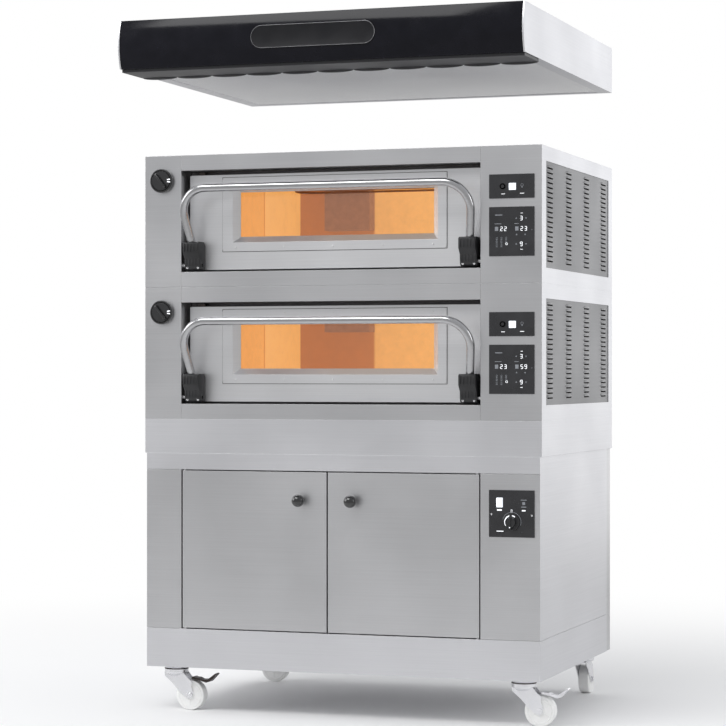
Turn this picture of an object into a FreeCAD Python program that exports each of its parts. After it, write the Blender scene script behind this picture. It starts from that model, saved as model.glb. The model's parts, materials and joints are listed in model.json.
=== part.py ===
import FreeCAD, Part
import Sketcher
import math
import os
import re

# Twin-deck electric pizza oven on a proving cabinet with castors, and its lift-off hood.
# Frame: X to the right, Y to the back, Z up; origin on the floor under the cabinet's centre.

SIZES = [
    ("body_width", 1370, "width of decks, plinth and hood"),
    ("body_depth", 976, "front panel to back panel"),
    ("sheet_gauge", 2, "stainless sheet, folded"),
    ("castor_height", 150, "floor to cabinet underside"),
    ("prover_height", 714, "proving cabinet"),
    ("prover_inset", 6, "cabinet side set in from the deck side"),
    ("plinth_height", 114, "plain band under the decks"),
    ("deck_height", 439, "one baking deck"),
    ("seam_gap", 1, "reveal between stacked fronts"),
    ("left_column", 131, "front post at the left"),
    ("right_column", 202.5, "control column at the right"),
    ("top_rail", 51, "rail over the oven mouth"),
    ("bottom_rail", 50, "rail under the oven mouth"),
    ("jamb_depth", 90, "depth of the door recess"),
    ("door_recess", 45, "door face behind the front"),
    ("door_side_gap", 13, "door to jamb"),
    ("door_foot_gap", 8, "door to bottom rail"),
    ("door_head_gap", 14, "door to top rail"),
    ("door_thickness", 38, "insulated door"),
    ("door_skin", 2, "folded outer pan of a door"),
    ("door_cover", 1.5, "inner cover of a door"),
    ("window_width", 780, "window frame, outside"),
    ("window_height", 246, "window frame, outside"),
    ("window_foot", 60, "door foot to window frame"),
    ("window_proud", 3, "frame stands proud of the door"),
    ("glass_width", 672, "visible glass"),
    ("glass_height", 146, "visible glass"),
    ("glass_foot", 50.5, "frame foot to glass"),
    ("window_shift", 3, "window frame right of the mouth's middle"),
    ("glass_shift", 6, "glass right of the mouth's middle"),
    ("glass_depth", 22, "bevel depth"),
    ("glass_thickness", 5, "tempered glass"),
    ("pivot_rise", 22, "door pivot over the bottom rail"),
    ("pivot_depth", 18, "door pivot behind the front"),
    ("pivot_radius", 6, "door pivot pin"),
    ("handle_tube", 13.5, "handle tube radius"),
    ("handle_wall", 1.5, "handle tube wall"),
    ("handle_half", 507, "half span of the handle corners"),
    ("handle_foot_half", 479, "half span of the handle feet"),
    ("handle_rise", 274, "handle bar over the bottom rail"),
    ("handle_reach", 63, "handle bar ahead of the front"),
    ("handle_bend", 88, "bend radius of the tube"),
    ("block_width", 56, "handle socket block"),
    ("block_height", 100, "handle socket block"),
    ("chamber_width", 828, "baking chamber inside"),
    ("chamber_depth", 770, "baking chamber inside"),
    ("chamber_floor", 104, "chamber floor over the deck foot"),
    ("mouth_top", 330, "head of the chamber mouth over the deck foot"),
    ("chamber_top", 374, "chamber ceiling over the deck foot"),
    ("liner_gauge", 3, "chamber wall"),
    ("insulation_gauge", 42, "mineral wool around the chamber"),
    ("stone_thickness", 30, "hearth stone"),
    ("stone_gap", 2, "gap between stones"),
    ("vent_front", 54, "front edge of the side vent panel"),
    ("vent_depth", 869, "side vent panel"),
    ("vent_height", 341, "side vent panel"),
    ("vent_lap", 8, "side vent panel behind the edge of its opening"),
    ("louvre_pitch", 15.7, "louvre rows"),
    ("louvre_length", 70, "one louvre"),
    ("louvre_height", 5, "one louvre"),
    ("louvre_rise", 20, "first row over the foot of the vent opening"),
    ("louvre_start", 57, "first column behind the front of the vent opening"),
    ("louvre_column_pitch", 247, "louvre columns"),
    ("knob_radius", 40, "steam vent knob"),
    ("knob_drop", 84, "steam vent knob under the deck top"),
    ("knob_inset", 63, "steam vent knob from the deck's left side"),
    ("spindle_radius", 5, "steam vent spindle"),
    ("cable_radius", 13, "cable entry"),
    ("cable_place", 430, "X of a deck's cable entry"),
    ("cable_rise", 60, "cable entry over the foot of its cover"),
    ("prover_cable_place", 500, "X of the cabinet's cable entry"),
    ("panel_width", 149, "control panels"),
    ("panel_left", 29.5, "column edge to control panel"),
    ("switch_panel_drop", 92, "switch panel under the deck top"),
    ("switch_panel_height", 77, "switch panel"),
    ("display_drop", 196, "display under the deck top"),
    ("display_height", 157, "display"),
    ("plate_gauge", 3, "front plate of a control panel"),
    ("plate_back_depth", 34, "electronics box behind a control panel"),
    ("button_place", 45, "panel's left edge to the push button"),
    ("rocker_place", 77, "panel's left edge to the power rocker"),
    ("prover_panel_drop", 106, "cabinet's control panel under the cabinet top"),
    ("prover_panel_height", 150, "cabinet's control panel"),
    ("thermostat_rise", 49, "thermostat axis over the panel foot"),
    ("thermostat_place", 75, "panel's left edge to the thermostat axis"),
    ("base_height", 129, "cabinet base skirt"),
    ("crown_height", 54, "cabinet crown band"),
    ("prover_door_gap", 4, "gap round a cabinet door"),
    ("prover_door_depth", 22, "cabinet door thickness"),
    ("prover_door_rim", 14, "solid rim of a cabinet door, round its hollow"),
    ("door_split", -38, "X of the gap between the doors"),
    ("ball_place", 90, "gap between the doors to a ball knob"),
    ("ball_drop", 96, "ball knob under the door opening's head"),
    ("ball_reach", 32, "centre of a ball knob ahead of the door"),
    ("rear_cover_depth", 56, "cabinet back wall to its rear cover's face"),
    ("ball_radius", 21, "ball knob of a cabinet door"),
    ("hinge_inset", 7, "pivot pin from the door's corner"),
    ("hinge_pin", 4, "pivot pin radius"),
    ("castor_inset_x", 80, "castor axis from the body side"),
    ("castor_inset_y", 80, "castor axis from the body front"),
    ("castor_inset_back", 108, "castor axis from the body back"),
    ("castor_plate_length", 104, "castor top plate, along the front"),
    ("castor_plate_width", 84, "castor top plate, front to back"),
    ("wheel_radius", 50, "nylon wheel"),
    ("wheel_width", 36, "nylon wheel"),
    ("castor_trail", 56, "wheel axle behind the swivel axis"),
    ("axle_radius", 6, "castor axle"),
    ("hood_height", 158, "extraction hood"),
    ("hood_raise", 268, "hood held above its seat"),
    ("hood_overhang", 220, "hood ahead of the oven front"),
    ("visor_bulge", 14, "bow of the hood visor"),
    ("lip_reach", 196, "hood front to the gutter's rear lip"),
    ("hood_flange", 45, "flange round the filter at the sides"),
    ("hood_rear_flange", 30, "flange behind the filter"),
    ("collar_radius", 75, "duct collar"),
    ("collar_height", 45, "duct collar"),
    ("collar_place", 250, "duct collar behind the oven's middle"),
    ("visor_depth", 20, "hood front to the casing's front wall"),
    ("filter_slot", 8, "one slot of the grease filter"),
    ("filter_pitch", 31.2, "slots of the grease filter"),
]
ALIASES = {name for name, _, _ in SIZES}
DECKS = ("lower", "upper")

doc = FreeCAD.newDocument("DeckOven")
sheet = doc.addObject("Spreadsheet::Sheet", "Sizes")
nodes = []


def fill_sheet():
    for row, (name, amount, note) in enumerate(SIZES, start=1):
        sheet.set(f"A{row}", name)
        sheet.set(f"B{row}", str(amount))
        sheet.set(f"C{row}", note)
        sheet.setAlias(f"B{row}", name)
    doc.recompute()


def bound(text):
    """Formula with every sheet alias written the way an expression needs it."""
    return re.sub(r"[a-z_]+", lambda m: f"Sizes.{m[0]}" if m[0] in ALIASES else m[0], str(text))


def number(text):
    found = sheet.evalExpression(bound(text))
    return float(getattr(found, "Value", found))


# Places that several pieces share, as formulas of the sheet's cells.
FRONT = "(-body_depth / 2)"
BACK = "(body_depth / 2)"
SIDE = "(body_width / 2)"
MOUTH_LEFT = "(-body_width / 2 + left_column)"
MOUTH_RIGHT = "(body_width / 2 - right_column)"
MOUTH_WIDTH = "(body_width - left_column - right_column)"
MOUTH_MIDDLE = "((left_column - right_column) / 2)"
MOUTH_HEIGHT = "(deck_height - top_rail - bottom_rail)"
PROVER_SIDE = "(body_width / 2 - prover_inset)"
PROVER_WIDTH = "(body_width - 2 * prover_inset)"
PROVER_TOP = "(castor_height + prover_height)"
PLINTH_TOP = "(castor_height + prover_height + plinth_height)"
OVEN_TOP = "(castor_height + prover_height + plinth_height + 2 * deck_height)"
DECK_FOOT = {"lower": PLINTH_TOP, "upper": f"({PLINTH_TOP} + deck_height)"}
DOOR_FACE = f"({FRONT} + door_recess)"
DOOR_LEFT = f"({MOUTH_LEFT} + door_side_gap)"
DOOR_WIDTH = f"({MOUTH_WIDTH} - 2 * door_side_gap)"
DOOR_HEIGHT = f"({MOUTH_HEIGHT} - door_foot_gap - door_head_gap)"
FLANGE_FACE = f"({FRONT} + jamb_depth)"
CHAMBER_LEFT = f"({MOUTH_MIDDLE} - chamber_width / 2)"
BASE_TOP = "(castor_height + base_height)"
PROVER_DOOR_TOP = f"({PROVER_TOP} - crown_height)"
PROVER_PANEL_FOOT = f"({PROVER_TOP} - prover_panel_drop - prover_panel_height)"
HOOD_FOOT = f"({OVEN_TOP} + hood_raise)"
HOOD_FRONT = f"({FRONT} - hood_overhang)"
PANEL_LEFT = f"({MOUTH_RIGHT} + panel_left)"

FORWARD = FreeCAD.Rotation(FreeCAD.Vector(1, 0, 0), 90)
TURNS = {
    "x": FreeCAD.Rotation(FreeCAD.Vector(0, 1, 0), 90),
    "y": FreeCAD.Rotation(FreeCAD.Vector(1, 0, 0), -90),
    "z": FreeCAD.Rotation(),
}


def put(piece, at, turn=None):
    """Bind a piece's place to formulas."""
    piece.Placement = FreeCAD.Placement(FreeCAD.Vector(), turn or FreeCAD.Rotation())
    for letter, place in zip("xyz", at):
        piece.setExpression(f"Placement.Base.{letter}", bound(place))
    return piece


def block(size, at):
    piece = doc.addObject("Part::Box", "Block")
    for side, amount in zip(("Length", "Width", "Height"), size):
        piece.setExpression(side, bound(amount))
    return put(piece, at)


def rod(radius, length, at, axis="z"):
    piece = doc.addObject("Part::Cylinder", "Rod")
    piece.setExpression("Radius", bound(radius))
    piece.setExpression("Height", bound(length))
    return put(piece, at, TURNS[axis])


def ball(radius, at):
    piece = doc.addObject("Part::Sphere", "Ball")
    piece.setExpression("Radius", bound(radius))
    return put(piece, at)


def cone(radii, length, at, axis="z"):
    piece = doc.addObject("Part::Cone", "Cone")
    piece.setExpression("Radius1", bound(radii[0]))
    piece.setExpression("Radius2", bound(radii[1]))
    piece.setExpression("Height", bound(length))
    return put(piece, at, TURNS[axis])


def fuse(*pieces):
    joined = doc.addObject("Part::MultiFuse", "Joined")
    joined.Shapes = list(pieces)
    joined.Refine = True
    return joined


def cut(base, *tools):
    piece = doc.addObject("Part::Cut", "Cut")
    piece.Base = base
    piece.Tool = tools[0] if len(tools) == 1 else fuse(*tools)
    piece.Refine = True
    return piece


def group(*pieces):
    """Separate solids that share one node."""
    held = doc.addObject("Part::Compound", "Group")
    held.Links = list(pieces)
    return held


def rounded(base, radius, along):
    """Round the base's straight edges that run along one axis."""
    doc.recompute()
    chosen = []
    for index, edge in enumerate(base.Shape.Edges, start=1):
        run = edge.Vertexes[-1].Point - edge.Vertexes[0].Point
        if run.Length > 0 and abs(getattr(run, along)) > 0.999 * run.Length:
            chosen.append((index, number(radius), number(radius)))
    piece = doc.addObject("Part::Fillet", "Rounded")
    piece.Base = base
    piece.Edges = chosen
    return piece


def turned(piece, axis, angle, about):
    """A piece turned about a point; both bodies keep their own sizes."""
    held = doc.addObject("Part::Compound", "Turned")
    held.Links = [piece]
    centre = FreeCAD.Vector(*[number(place) for place in about])
    held.Placement = FreeCAD.Placement(FreeCAD.Vector(), FreeCAD.Rotation(axis, angle), centre)
    return held


def node(name, piece):
    piece.Label = name
    nodes.append((name, piece))
    return piece


def body_of(label):
    return doc.addObject("PartDesign::Body", label)


def plane_of(body, role):
    return next(f for f in body.Origin.OriginFeatures if f.Role == role)


def sketch_on(body, role, points):
    """A closed sketch of straight lines through points given as pairs of formulas."""
    sketch = body.newObject("Sketcher::SketchObject", "Outline")
    sketch.AttachmentSupport = [(plane_of(body, role), "")]
    sketch.MapMode = "FlatFace"
    spots = [FreeCAD.Vector(number(a), number(b), 0) for a, b in points]
    for index, (start, end) in enumerate(zip(spots, spots[1:] + spots[:1])):
        sketch.addGeometry(Part.LineSegment(start, end), False)
        if index:
            sketch.addConstraint(Sketcher.Constraint("Coincident", index - 1, 2, index, 1))
    sketch.addConstraint(Sketcher.Constraint("Coincident", len(spots) - 1, 2, 0, 1))
    for index, (a, b) in enumerate(points):
        for kind, place in (("DistanceX", a), ("DistanceY", b)):
            rule = sketch.addConstraint(Sketcher.Constraint(kind, -1, 1, index, 1, number(place)))
            sketch.setExpression(f"Constraints[{rule}]", bound(place))
    return sketch


def revolved(label, points, at, turn=None):
    """A PartDesign body turned from a half outline (radius, height) about its own Z axis."""
    body = body_of(label)
    sketch = sketch_on(body, "XZ_Plane", points)
    doc.recompute()
    spin = body.newObject("PartDesign::Revolution", "Spin")
    spin.Profile = sketch
    spin.ReferenceAxis = (sketch, ["V_Axis"])
    spin.Angle = 360
    body.Tip = spin
    return put(body, at, turn)


def padded(label, role, points, length, at):
    """A PartDesign body padded from an outline."""
    body = body_of(label)
    sketch = sketch_on(body, role, points)
    doc.recompute()
    pad = body.newObject("PartDesign::Pad", "Pad")
    pad.Profile = sketch
    pad.setExpression("Length", bound(length))
    body.Tip = pad
    return put(body, at)


def bent_path(corners, radius):
    """Wire through corner points with an arc of one radius at each inner corner."""
    spots = [FreeCAD.Vector(*corner) for corner in corners]
    edges = []
    last = spots[0]
    for before, here, after in zip(spots, spots[1:], spots[2:]):
        back = (before - here).normalize()
        ahead = (after - here).normalize()
        half = back.getAngle(ahead) / 2
        reach = radius / math.tan(half)
        start = here + back * reach
        end = here + ahead * reach
        middle = (back + ahead).normalize()
        crown = here + middle * (radius / math.sin(half) - radius)
        edges.append(Part.LineSegment(last, start).toShape())
        edges.append(Part.Arc(start, crown, end).toShape())
        last = end
    edges.append(Part.LineSegment(last, spots[-1]).toShape())
    return Part.Wire(edges)


def swept_tube(path, radius):
    """A round bar along a wire."""
    start = path.Edges[0]
    along = start.tangentAt(start.FirstParameter)
    ring = Part.Wire(Part.makeCircle(radius, start.Vertexes[0].Point, along))
    return path.makePipeShell([ring], True, False, 2)


def shaped(label, shape):
    piece = doc.addObject("Part::Feature", label)
    piece.Shape = shape
    piece.Placement = FreeCAD.Placement()
    return piece


# ---------------------------------------------------------------- baking decks


def deck_casing(deck):
    """Folded wrap: roof, floor, sides with vent openings, and back with a cable hole."""
    foot = DECK_FOOT[deck]
    wrap = block(
        ("body_width", "body_depth - sheet_gauge", "deck_height"),
        ("-body_width / 2", f"{FRONT} + sheet_gauge", foot),
    )
    hollow = block(
        ("body_width - 2 * sheet_gauge", "body_depth - sheet_gauge", "deck_height - 2 * sheet_gauge"),
        ("-body_width / 2 + sheet_gauge", FRONT, f"{foot} + sheet_gauge"),
    )
    vents = block(
        ("body_width + 20", "vent_depth", "vent_height"),
        ("-body_width / 2 - 10", f"{FRONT} + vent_front", f"{foot} + bottom_rail"),
    )
    cable = rod("cable_radius", 40, ("cable_place", f"{BACK} - 20", f"{foot} + cable_rise"), "y")
    node(f"{deck}_casing", cut(wrap, hollow, vents, cable))


def deck_front(deck):
    """Left post with its jamb, and the two rails with their returns."""
    foot = DECK_FOOT[deck]
    low = f"({foot} + seam_gap / 2)"
    tall = "(deck_height - seam_gap)"
    post = block(("left_column - 0.4", "sheet_gauge", tall), ("-body_width / 2", FRONT, low))
    jamb = block(
        ("sheet_gauge", "jamb_depth", MOUTH_HEIGHT),
        (f"{MOUTH_LEFT} - sheet_gauge - 0.4", FRONT, f"{foot} + bottom_rail"),
    )
    pin = rod(
        "pivot_radius", "door_side_gap + 22",
        (f"{MOUTH_LEFT} - 1.4", f"{FRONT} + pivot_depth", f"{foot} + bottom_rail + pivot_rise"), "x",
    )
    knob_hole = rod(
        "spindle_radius + 0.06", 20,
        ("-body_width / 2 + knob_inset", f"{FRONT} - 10", f"{foot} + deck_height - knob_drop"), "y",
    )
    left = cut(fuse(post, jamb, pin), knob_hole)
    head = fuse(
        block((f"{MOUTH_WIDTH} - 0.4", "sheet_gauge", "top_rail - seam_gap / 2"),
              (f"{MOUTH_LEFT} + 0.2", FRONT, f"{foot} + deck_height - top_rail")),
        block((f"{MOUTH_WIDTH} - 0.4", "jamb_depth", "sheet_gauge"),
              (f"{MOUTH_LEFT} + 0.2", FRONT, f"{foot} + deck_height - top_rail")),
    )
    sill = fuse(
        block((f"{MOUTH_WIDTH} - 0.4", "sheet_gauge", "bottom_rail - seam_gap / 2"),
              (f"{MOUTH_LEFT} + 0.2", FRONT, low)),
        block((f"{MOUTH_WIDTH} - 0.4", "jamb_depth", "sheet_gauge"),
              (f"{MOUTH_LEFT} + 0.2", FRONT, f"{foot} + bottom_rail - sheet_gauge")),
    )
    node(f"{deck}_front_frame", group(left, head, sill))


def control_column(deck):
    """Right post with cut-outs for the switch panel and the display."""
    foot = DECK_FOOT[deck]
    post = block(
        ("right_column - 0.4", "sheet_gauge", "deck_height - seam_gap"),
        (f"{MOUTH_RIGHT} + 0.4", FRONT, f"{foot} + seam_gap / 2"),
    )
    jamb = block(
        ("sheet_gauge", "jamb_depth", MOUTH_HEIGHT),
        (f"{MOUTH_RIGHT} + 0.4", FRONT, f"{foot} + bottom_rail"),
    )
    pin = rod(
        "pivot_radius", "door_side_gap + 22",
        (f"{MOUTH_RIGHT} + 1.4 - door_side_gap - 22", f"{FRONT} + pivot_depth",
         f"{foot} + bottom_rail + pivot_rise"), "x",
    )
    openings = [
        block(("panel_width - 10", 20, f"{tall} - 10"),
              (f"{PANEL_LEFT} + 5", f"{FRONT} - 10", f"{foot} + deck_height - {drop} - {tall} + 5"))
        for drop, tall in (("switch_panel_drop", "switch_panel_height"), ("display_drop", "display_height"))
    ]
    node(f"{deck}_control_column", cut(fuse(post, jamb, pin), *openings))


def control_panels(deck):
    """Black switch panel and touch display, each with its electronics box behind."""
    foot = DECK_FOOT[deck]
    pieces = []
    for drop, tall in (("switch_panel_drop", "switch_panel_height"), ("display_drop", "display_height")):
        low = f"({foot} + deck_height - {drop} - {tall})"
        plate = rounded(
            block(("panel_width", "plate_gauge", tall), (PANEL_LEFT, f"{FRONT} - plate_gauge", low)), 2, "y"
        )
        back = block(("panel_width - 12", "plate_back_depth", f"{tall} - 12"),
                     (f"{PANEL_LEFT} + 6", f"{FRONT} - 1", f"{low} + 6"))
        pieces.append(fuse(plate, back))
    middle = f"({foot} + deck_height - switch_panel_drop - switch_panel_height / 2)"
    rocker_hole = block((24, 60, 24), (f"{PANEL_LEFT} + rocker_place - 12", f"{FRONT} - 10", f"{middle} - 12"))
    button_hole = rod(8.1, 60, (f"{PANEL_LEFT} + button_place", f"{FRONT} - 10", middle), "y")
    pieces[0] = cut(pieces[0], rocker_hole, button_hole)
    node(f"{deck}_control_panels", group(*pieces))


def rocker(name, middle, turned_by=7):
    """Square rocker: a shallow vee that tips about a pin across its back."""
    x, y, z = middle
    half = 11
    outline = [(0, -half), (-4.5, -half), (-2.6, 0), (-4.5, half), (0, half), (9, 7), (9, -7)]
    body = padded(f"{name}_body", "YZ_Plane", outline, 22, (f"{x} - {half}", y, z))
    node(name, turned(body, FreeCAD.Vector(1, 0, 0), turned_by, (x, f"{y} + 4", z)))


def deck_switches(deck):
    foot = DECK_FOOT[deck]
    middle = f"({foot} + deck_height - switch_panel_drop - switch_panel_height / 2)"
    rocker(f"{deck}_rocker_switch", (f"({PANEL_LEFT} + rocker_place)", f"({FRONT} - 2)", middle))
    outline = [(0, 0), (8, 0), (8, 14), (7, 16), (6, 16.5), (4.5, 15.6), (0, 15.2)]
    node(
        f"{deck}_push_button",
        revolved(f"{deck}_button_body", outline,
                 (f"{PANEL_LEFT} + button_place", f"{FRONT} + 10", middle), FORWARD),
    )


def vent_knob(deck):
    """Steam vent knob with its spindle and the damper disc that it turns in the flue."""
    foot = DECK_FOOT[deck]
    outline = [
        (0, 0), ("knob_radius - 1", 0), ("knob_radius", 2), ("knob_radius", 9), ("knob_radius - 3", 13),
        ("knob_radius - 12", 15), ("knob_radius - 14", 26), ("knob_radius - 16", 29), (0, 30),
    ]
    at = ("-body_width / 2 + knob_inset", f"{FRONT} - 1.5", f"{foot} + deck_height - knob_drop")
    grip = revolved(f"{deck}_knob_body", outline, at, FORWARD)
    ridge = block((13, 14, "1.72 * knob_radius"),
                  (f"{at[0]} - 6.5", f"{at[1]} - 32", f"{at[2]} - 0.86 * knob_radius"))
    spindle = rod("spindle_radius", 96, (at[0], f"{at[1]} - 1", at[2]), "y")
    damper = block((44, 40, 3), (f"{at[0]} - 22", f"{at[1]} + 55", f"{at[2]} - 1.5"))
    node(f"{deck}_vent_knob", fuse(grip, rounded(ridge, 5, "y"), spindle, damper))


def chamber(deck):
    """Chamber liner with the flange that closes the recess round the mouth."""
    foot = DECK_FOOT[deck]
    inner_tall = "(chamber_top - chamber_floor)"
    shell = block(
        ("chamber_width + 2 * liner_gauge", "chamber_depth + liner_gauge", f"{inner_tall} + 2 * liner_gauge"),
        (f"{CHAMBER_LEFT} - liner_gauge", f"{FLANGE_FACE} + 0.3", f"{foot} + chamber_floor - liner_gauge"),
    )
    flange = block(
        (f"{MOUTH_WIDTH} - 1", "liner_gauge", f"{MOUTH_HEIGHT} - 1"),
        (f"{MOUTH_LEFT} + 0.5", f"{FLANGE_FACE} + 0.3", f"{foot} + bottom_rail + 0.5"),
    )
    hollow = block(
        ("chamber_width", "chamber_depth - liner_gauge", inner_tall),
        (CHAMBER_LEFT, f"{FLANGE_FACE} + 0.3 + liner_gauge", f"{foot} + chamber_floor"),
    )
    mouth = block(
        ("chamber_width", 40, "mouth_top - chamber_floor"),
        (CHAMBER_LEFT, f"{FLANGE_FACE} - 20", f"{foot} + chamber_floor"),
    )
    ledges = [
        block((14, "chamber_depth - 4", 16), (place, f"{FLANGE_FACE} + 4", f"{foot} + chamber_floor"))
        for place in (CHAMBER_LEFT, f"{CHAMBER_LEFT} + chamber_width - 14")
    ]
    node(f"{deck}_chamber", fuse(cut(fuse(shell, flange), hollow, mouth), *ledges))


def chamber_wool(deck):
    foot = DECK_FOOT[deck]
    wool = "insulation_gauge"
    tall = "(chamber_top - chamber_floor + 2 * liner_gauge)"
    start = f"({FLANGE_FACE} + liner_gauge + 1)"
    outer = block(
        (f"chamber_width + 2 * liner_gauge + 2 * {wool}", f"chamber_depth + {wool}", f"{tall} + 2 * {wool}"),
        (f"{CHAMBER_LEFT} - liner_gauge - {wool}", start, f"{foot} + chamber_floor - liner_gauge - {wool}"),
    )
    hole = block(
        ("chamber_width + 2 * liner_gauge", "chamber_depth + liner_gauge + 0.3", tall),
        (f"{CHAMBER_LEFT} - liner_gauge", FLANGE_FACE, f"{foot} + chamber_floor - liner_gauge"),
    )
    return cut(outer, hole)


def hearth(deck):
    foot = DECK_FOOT[deck]
    wide = "((chamber_width - 4 * stone_gap) / 3)"
    return [
        rounded(
            block((wide, "chamber_depth - 10", "stone_thickness"),
                  (f"{CHAMBER_LEFT} + stone_gap + {number(f'{wide} + stone_gap') * index}",
                   f"{FLANGE_FACE} + 6", f"{foot} + chamber_floor + 16")),
            2, "z")
        for index in range(3)
    ]


def serpentine(low, rows=6, radius=4):
    """A sheathed element: runs along X joined by half-turn bends, in one plane."""
    left = number(f"{CHAMBER_LEFT} + 40")
    right = number(f"{CHAMBER_LEFT} + chamber_width - 40")
    near = number(f"{FLANGE_FACE} + 70")
    pitch = number("(chamber_depth - 140) / 5")
    corners = [(right + 20, near, low)]
    for row in range(rows):
        y = near + pitch * row
        ends = (right, left) if row % 2 == 0 else (left, right)
        if row:
            corners.append((ends[0], y, low))
        corners.append((ends[1], y, low))
    corners[-1] = (corners[-1][0] + (20 if rows % 2 == 0 else -20), corners[-1][1], low)
    return shaped("Element", swept_tube(bent_path(corners, pitch * 0.42), radius))


def lamp_box(deck, drop):
    """Light and steam box that hangs under the ceiling at the back of the chamber."""
    foot = DECK_FOOT[deck]
    low = f"({foot} + chamber_top - {drop})"
    box = block((172, 60, drop), (-335, f"{FLANGE_FACE} + chamber_depth - 60", low))
    return rounded(box, 3, "z")


def vent_panels():
    """Louvred side panels, one solid each: rows of slots in columns."""
    panels = []
    rows, columns = 20, 4
    for deck in DECKS:
        foot = DECK_FOOT[deck]
        for side in (-1, 1):
            inner = f"{side} * (body_width / 2 - sheet_gauge)"
            start = f"{inner} - 1.5" if side > 0 else inner
            body = body_of("VentPanel")
            low = f"({foot} + bottom_rail)"
            near = f"({FRONT} + vent_front - vent_lap)"
            far = f"({FRONT} + vent_front + vent_depth + vent_lap)"
            outline = [(near, f"{low} - vent_lap"), (far, f"{low} - vent_lap"),
                       (far, f"{low} + vent_height + vent_lap"), (near, f"{low} + vent_height + vent_lap")]
            sketch = sketch_on(body, "YZ_Plane", outline)
            doc.recompute()
            pad = body.newObject("PartDesign::Pad", "Pad")
            pad.Profile = sketch
            pad.Length = 1.5
            slot = "louvre_length / 2"
            first = f"({low} + louvre_rise)"
            corner = f"({FRONT} + vent_front + louvre_start)"
            hole = sketch_on(body, "YZ_Plane", [
                (f"{corner} - {slot}", first), (f"{corner} + {slot}", first),
                (f"{corner} + {slot}", f"{first} + louvre_height"),
                (f"{corner} - {slot}", f"{first} + louvre_height")])
            doc.recompute()
            pocket = body.newObject("PartDesign::Pocket", "Slot")
            pocket.Profile = hole
            pocket.Type = 1
            pocket.Midplane = True
            doc.recompute()
            grid = body.newObject("PartDesign::MultiTransform", "Grid")
            grid.Originals = [pocket]
            up = body.newObject("PartDesign::LinearPattern", "Rows")
            up.Direction = (hole, ["V_Axis"])
            up.setExpression("Length", bound(f"louvre_pitch * {rows - 1}"))
            up.Occurrences = rows
            along = body.newObject("PartDesign::LinearPattern", "Columns")
            along.Direction = (hole, ["H_Axis"])
            along.setExpression("Length", bound(f"louvre_column_pitch * {columns - 1}"))
            along.Occurrences = columns
            grid.Transformations = [up, along]
            body.Tip = grid
            panels.append(put(body, (start, 0, 0)))
    node("side_vent_panels", group(*panels))


# ---------------------------------------------------------------- baking doors


def deck_door(deck):
    foot = DECK_FOOT[deck]
    low = f"({foot} + bottom_rail + door_foot_gap)"
    slab = rounded(
        block((DOOR_WIDTH, "door_thickness", DOOR_HEIGHT), (DOOR_LEFT, DOOR_FACE, low)), 4, "y"
    )
    glass_low = f"({low} + window_foot + glass_foot)"
    aperture = block(
        ("glass_width + 20", "door_thickness + 40", "glass_height + 20"),
        (f"{MOUTH_MIDDLE} + glass_shift - glass_width / 2 - 10", f"{DOOR_FACE} - 20", f"{glass_low} - 10"),
    )
    seat = block(
        ("glass_width + 64", 24, "glass_height + 64"),
        (f"{MOUTH_MIDDLE} + glass_shift - glass_width / 2 - 32", DOOR_FACE, f"{glass_low} - 32"),
    )
    island = block(
        ("glass_width + 68", "door_thickness - door_cover", "glass_height + 68"),
        (f"{MOUTH_MIDDLE} + glass_shift - glass_width / 2 - 34", DOOR_FACE, f"{glass_low} - 34"),
    )
    hollow = block(
        (f"{DOOR_WIDTH} - 2 * door_skin", "door_thickness", f"{DOOR_HEIGHT} - 2 * door_skin"),
        (f"{DOOR_LEFT} + door_skin", f"{DOOR_FACE} + door_skin", f"{low} + door_skin"),
    )
    cover = block(
        (f"{DOOR_WIDTH} - 2 * door_skin", "door_cover", f"{DOOR_HEIGHT} - 2 * door_skin"),
        (f"{DOOR_LEFT} + door_skin", f"{DOOR_FACE} + door_thickness - door_cover", f"{low} + door_skin"),
    )
    pan = cut(fuse(cut(slab, hollow), island), aperture, seat)
    node(f"{deck}_door", group(pan, cut(cover, aperture)))


def window_frame(deck):
    """Screwed-on frame with a bevel that slopes in to the glass."""
    foot = DECK_FOOT[deck]
    low = f"({foot} + bottom_rail + door_foot_gap + window_foot)"
    left = f"({MOUTH_MIDDLE} + window_shift - window_width / 2)"
    plate = rounded(
        block(("window_width", "window_proud", "window_height"), (left, f"{DOOR_FACE} - window_proud", low)),
        9, "y",
    )
    glass_left = f"({MOUTH_MIDDLE} + glass_shift - glass_width / 2)"
    glass_low = f"({low} + glass_foot)"
    tray = block(
        ("glass_width + 60", "glass_depth", "glass_height + 60"),
        (f"{glass_left} - 30", f"{DOOR_FACE} - 1", f"{glass_low} - 30"),
    )
    bevel = doc.addObject("Part::Wedge", "Bevel")
    spread = 22
    for side, place in (
        ("Xmin", f"-{spread}"), ("Xmax", f"glass_width + {spread}"),
        ("Zmin", f"-{spread}"), ("Zmax", f"glass_height + {spread}"),
        ("X2min", 0), ("X2max", "glass_width"), ("Z2min", 0), ("Z2max", "glass_height"),
        ("Ymin", 0), ("Ymax", "glass_depth + 4"),
    ):
        bevel.setExpression(side, bound(place))
    put(bevel, (glass_left, f"{DOOR_FACE} - 4", glass_low))
    node(f"{deck}_window_frame", cut(fuse(plate, tray), bevel))


def door_glass(deck):
    foot = DECK_FOOT[deck]
    glass_low = f"({foot} + bottom_rail + door_foot_gap + window_foot + glass_foot)"
    pane = block(
        ("glass_width + 16", "glass_thickness", "glass_height + 16"),
        (f"{MOUTH_MIDDLE} + glass_shift - 8 - glass_width / 2", f"{DOOR_FACE} + glass_depth - 0.9",
         f"{glass_low} - 8"),
    )
    node(f"{deck}_door_glass", rounded(pane, 3, "y"))


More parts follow.
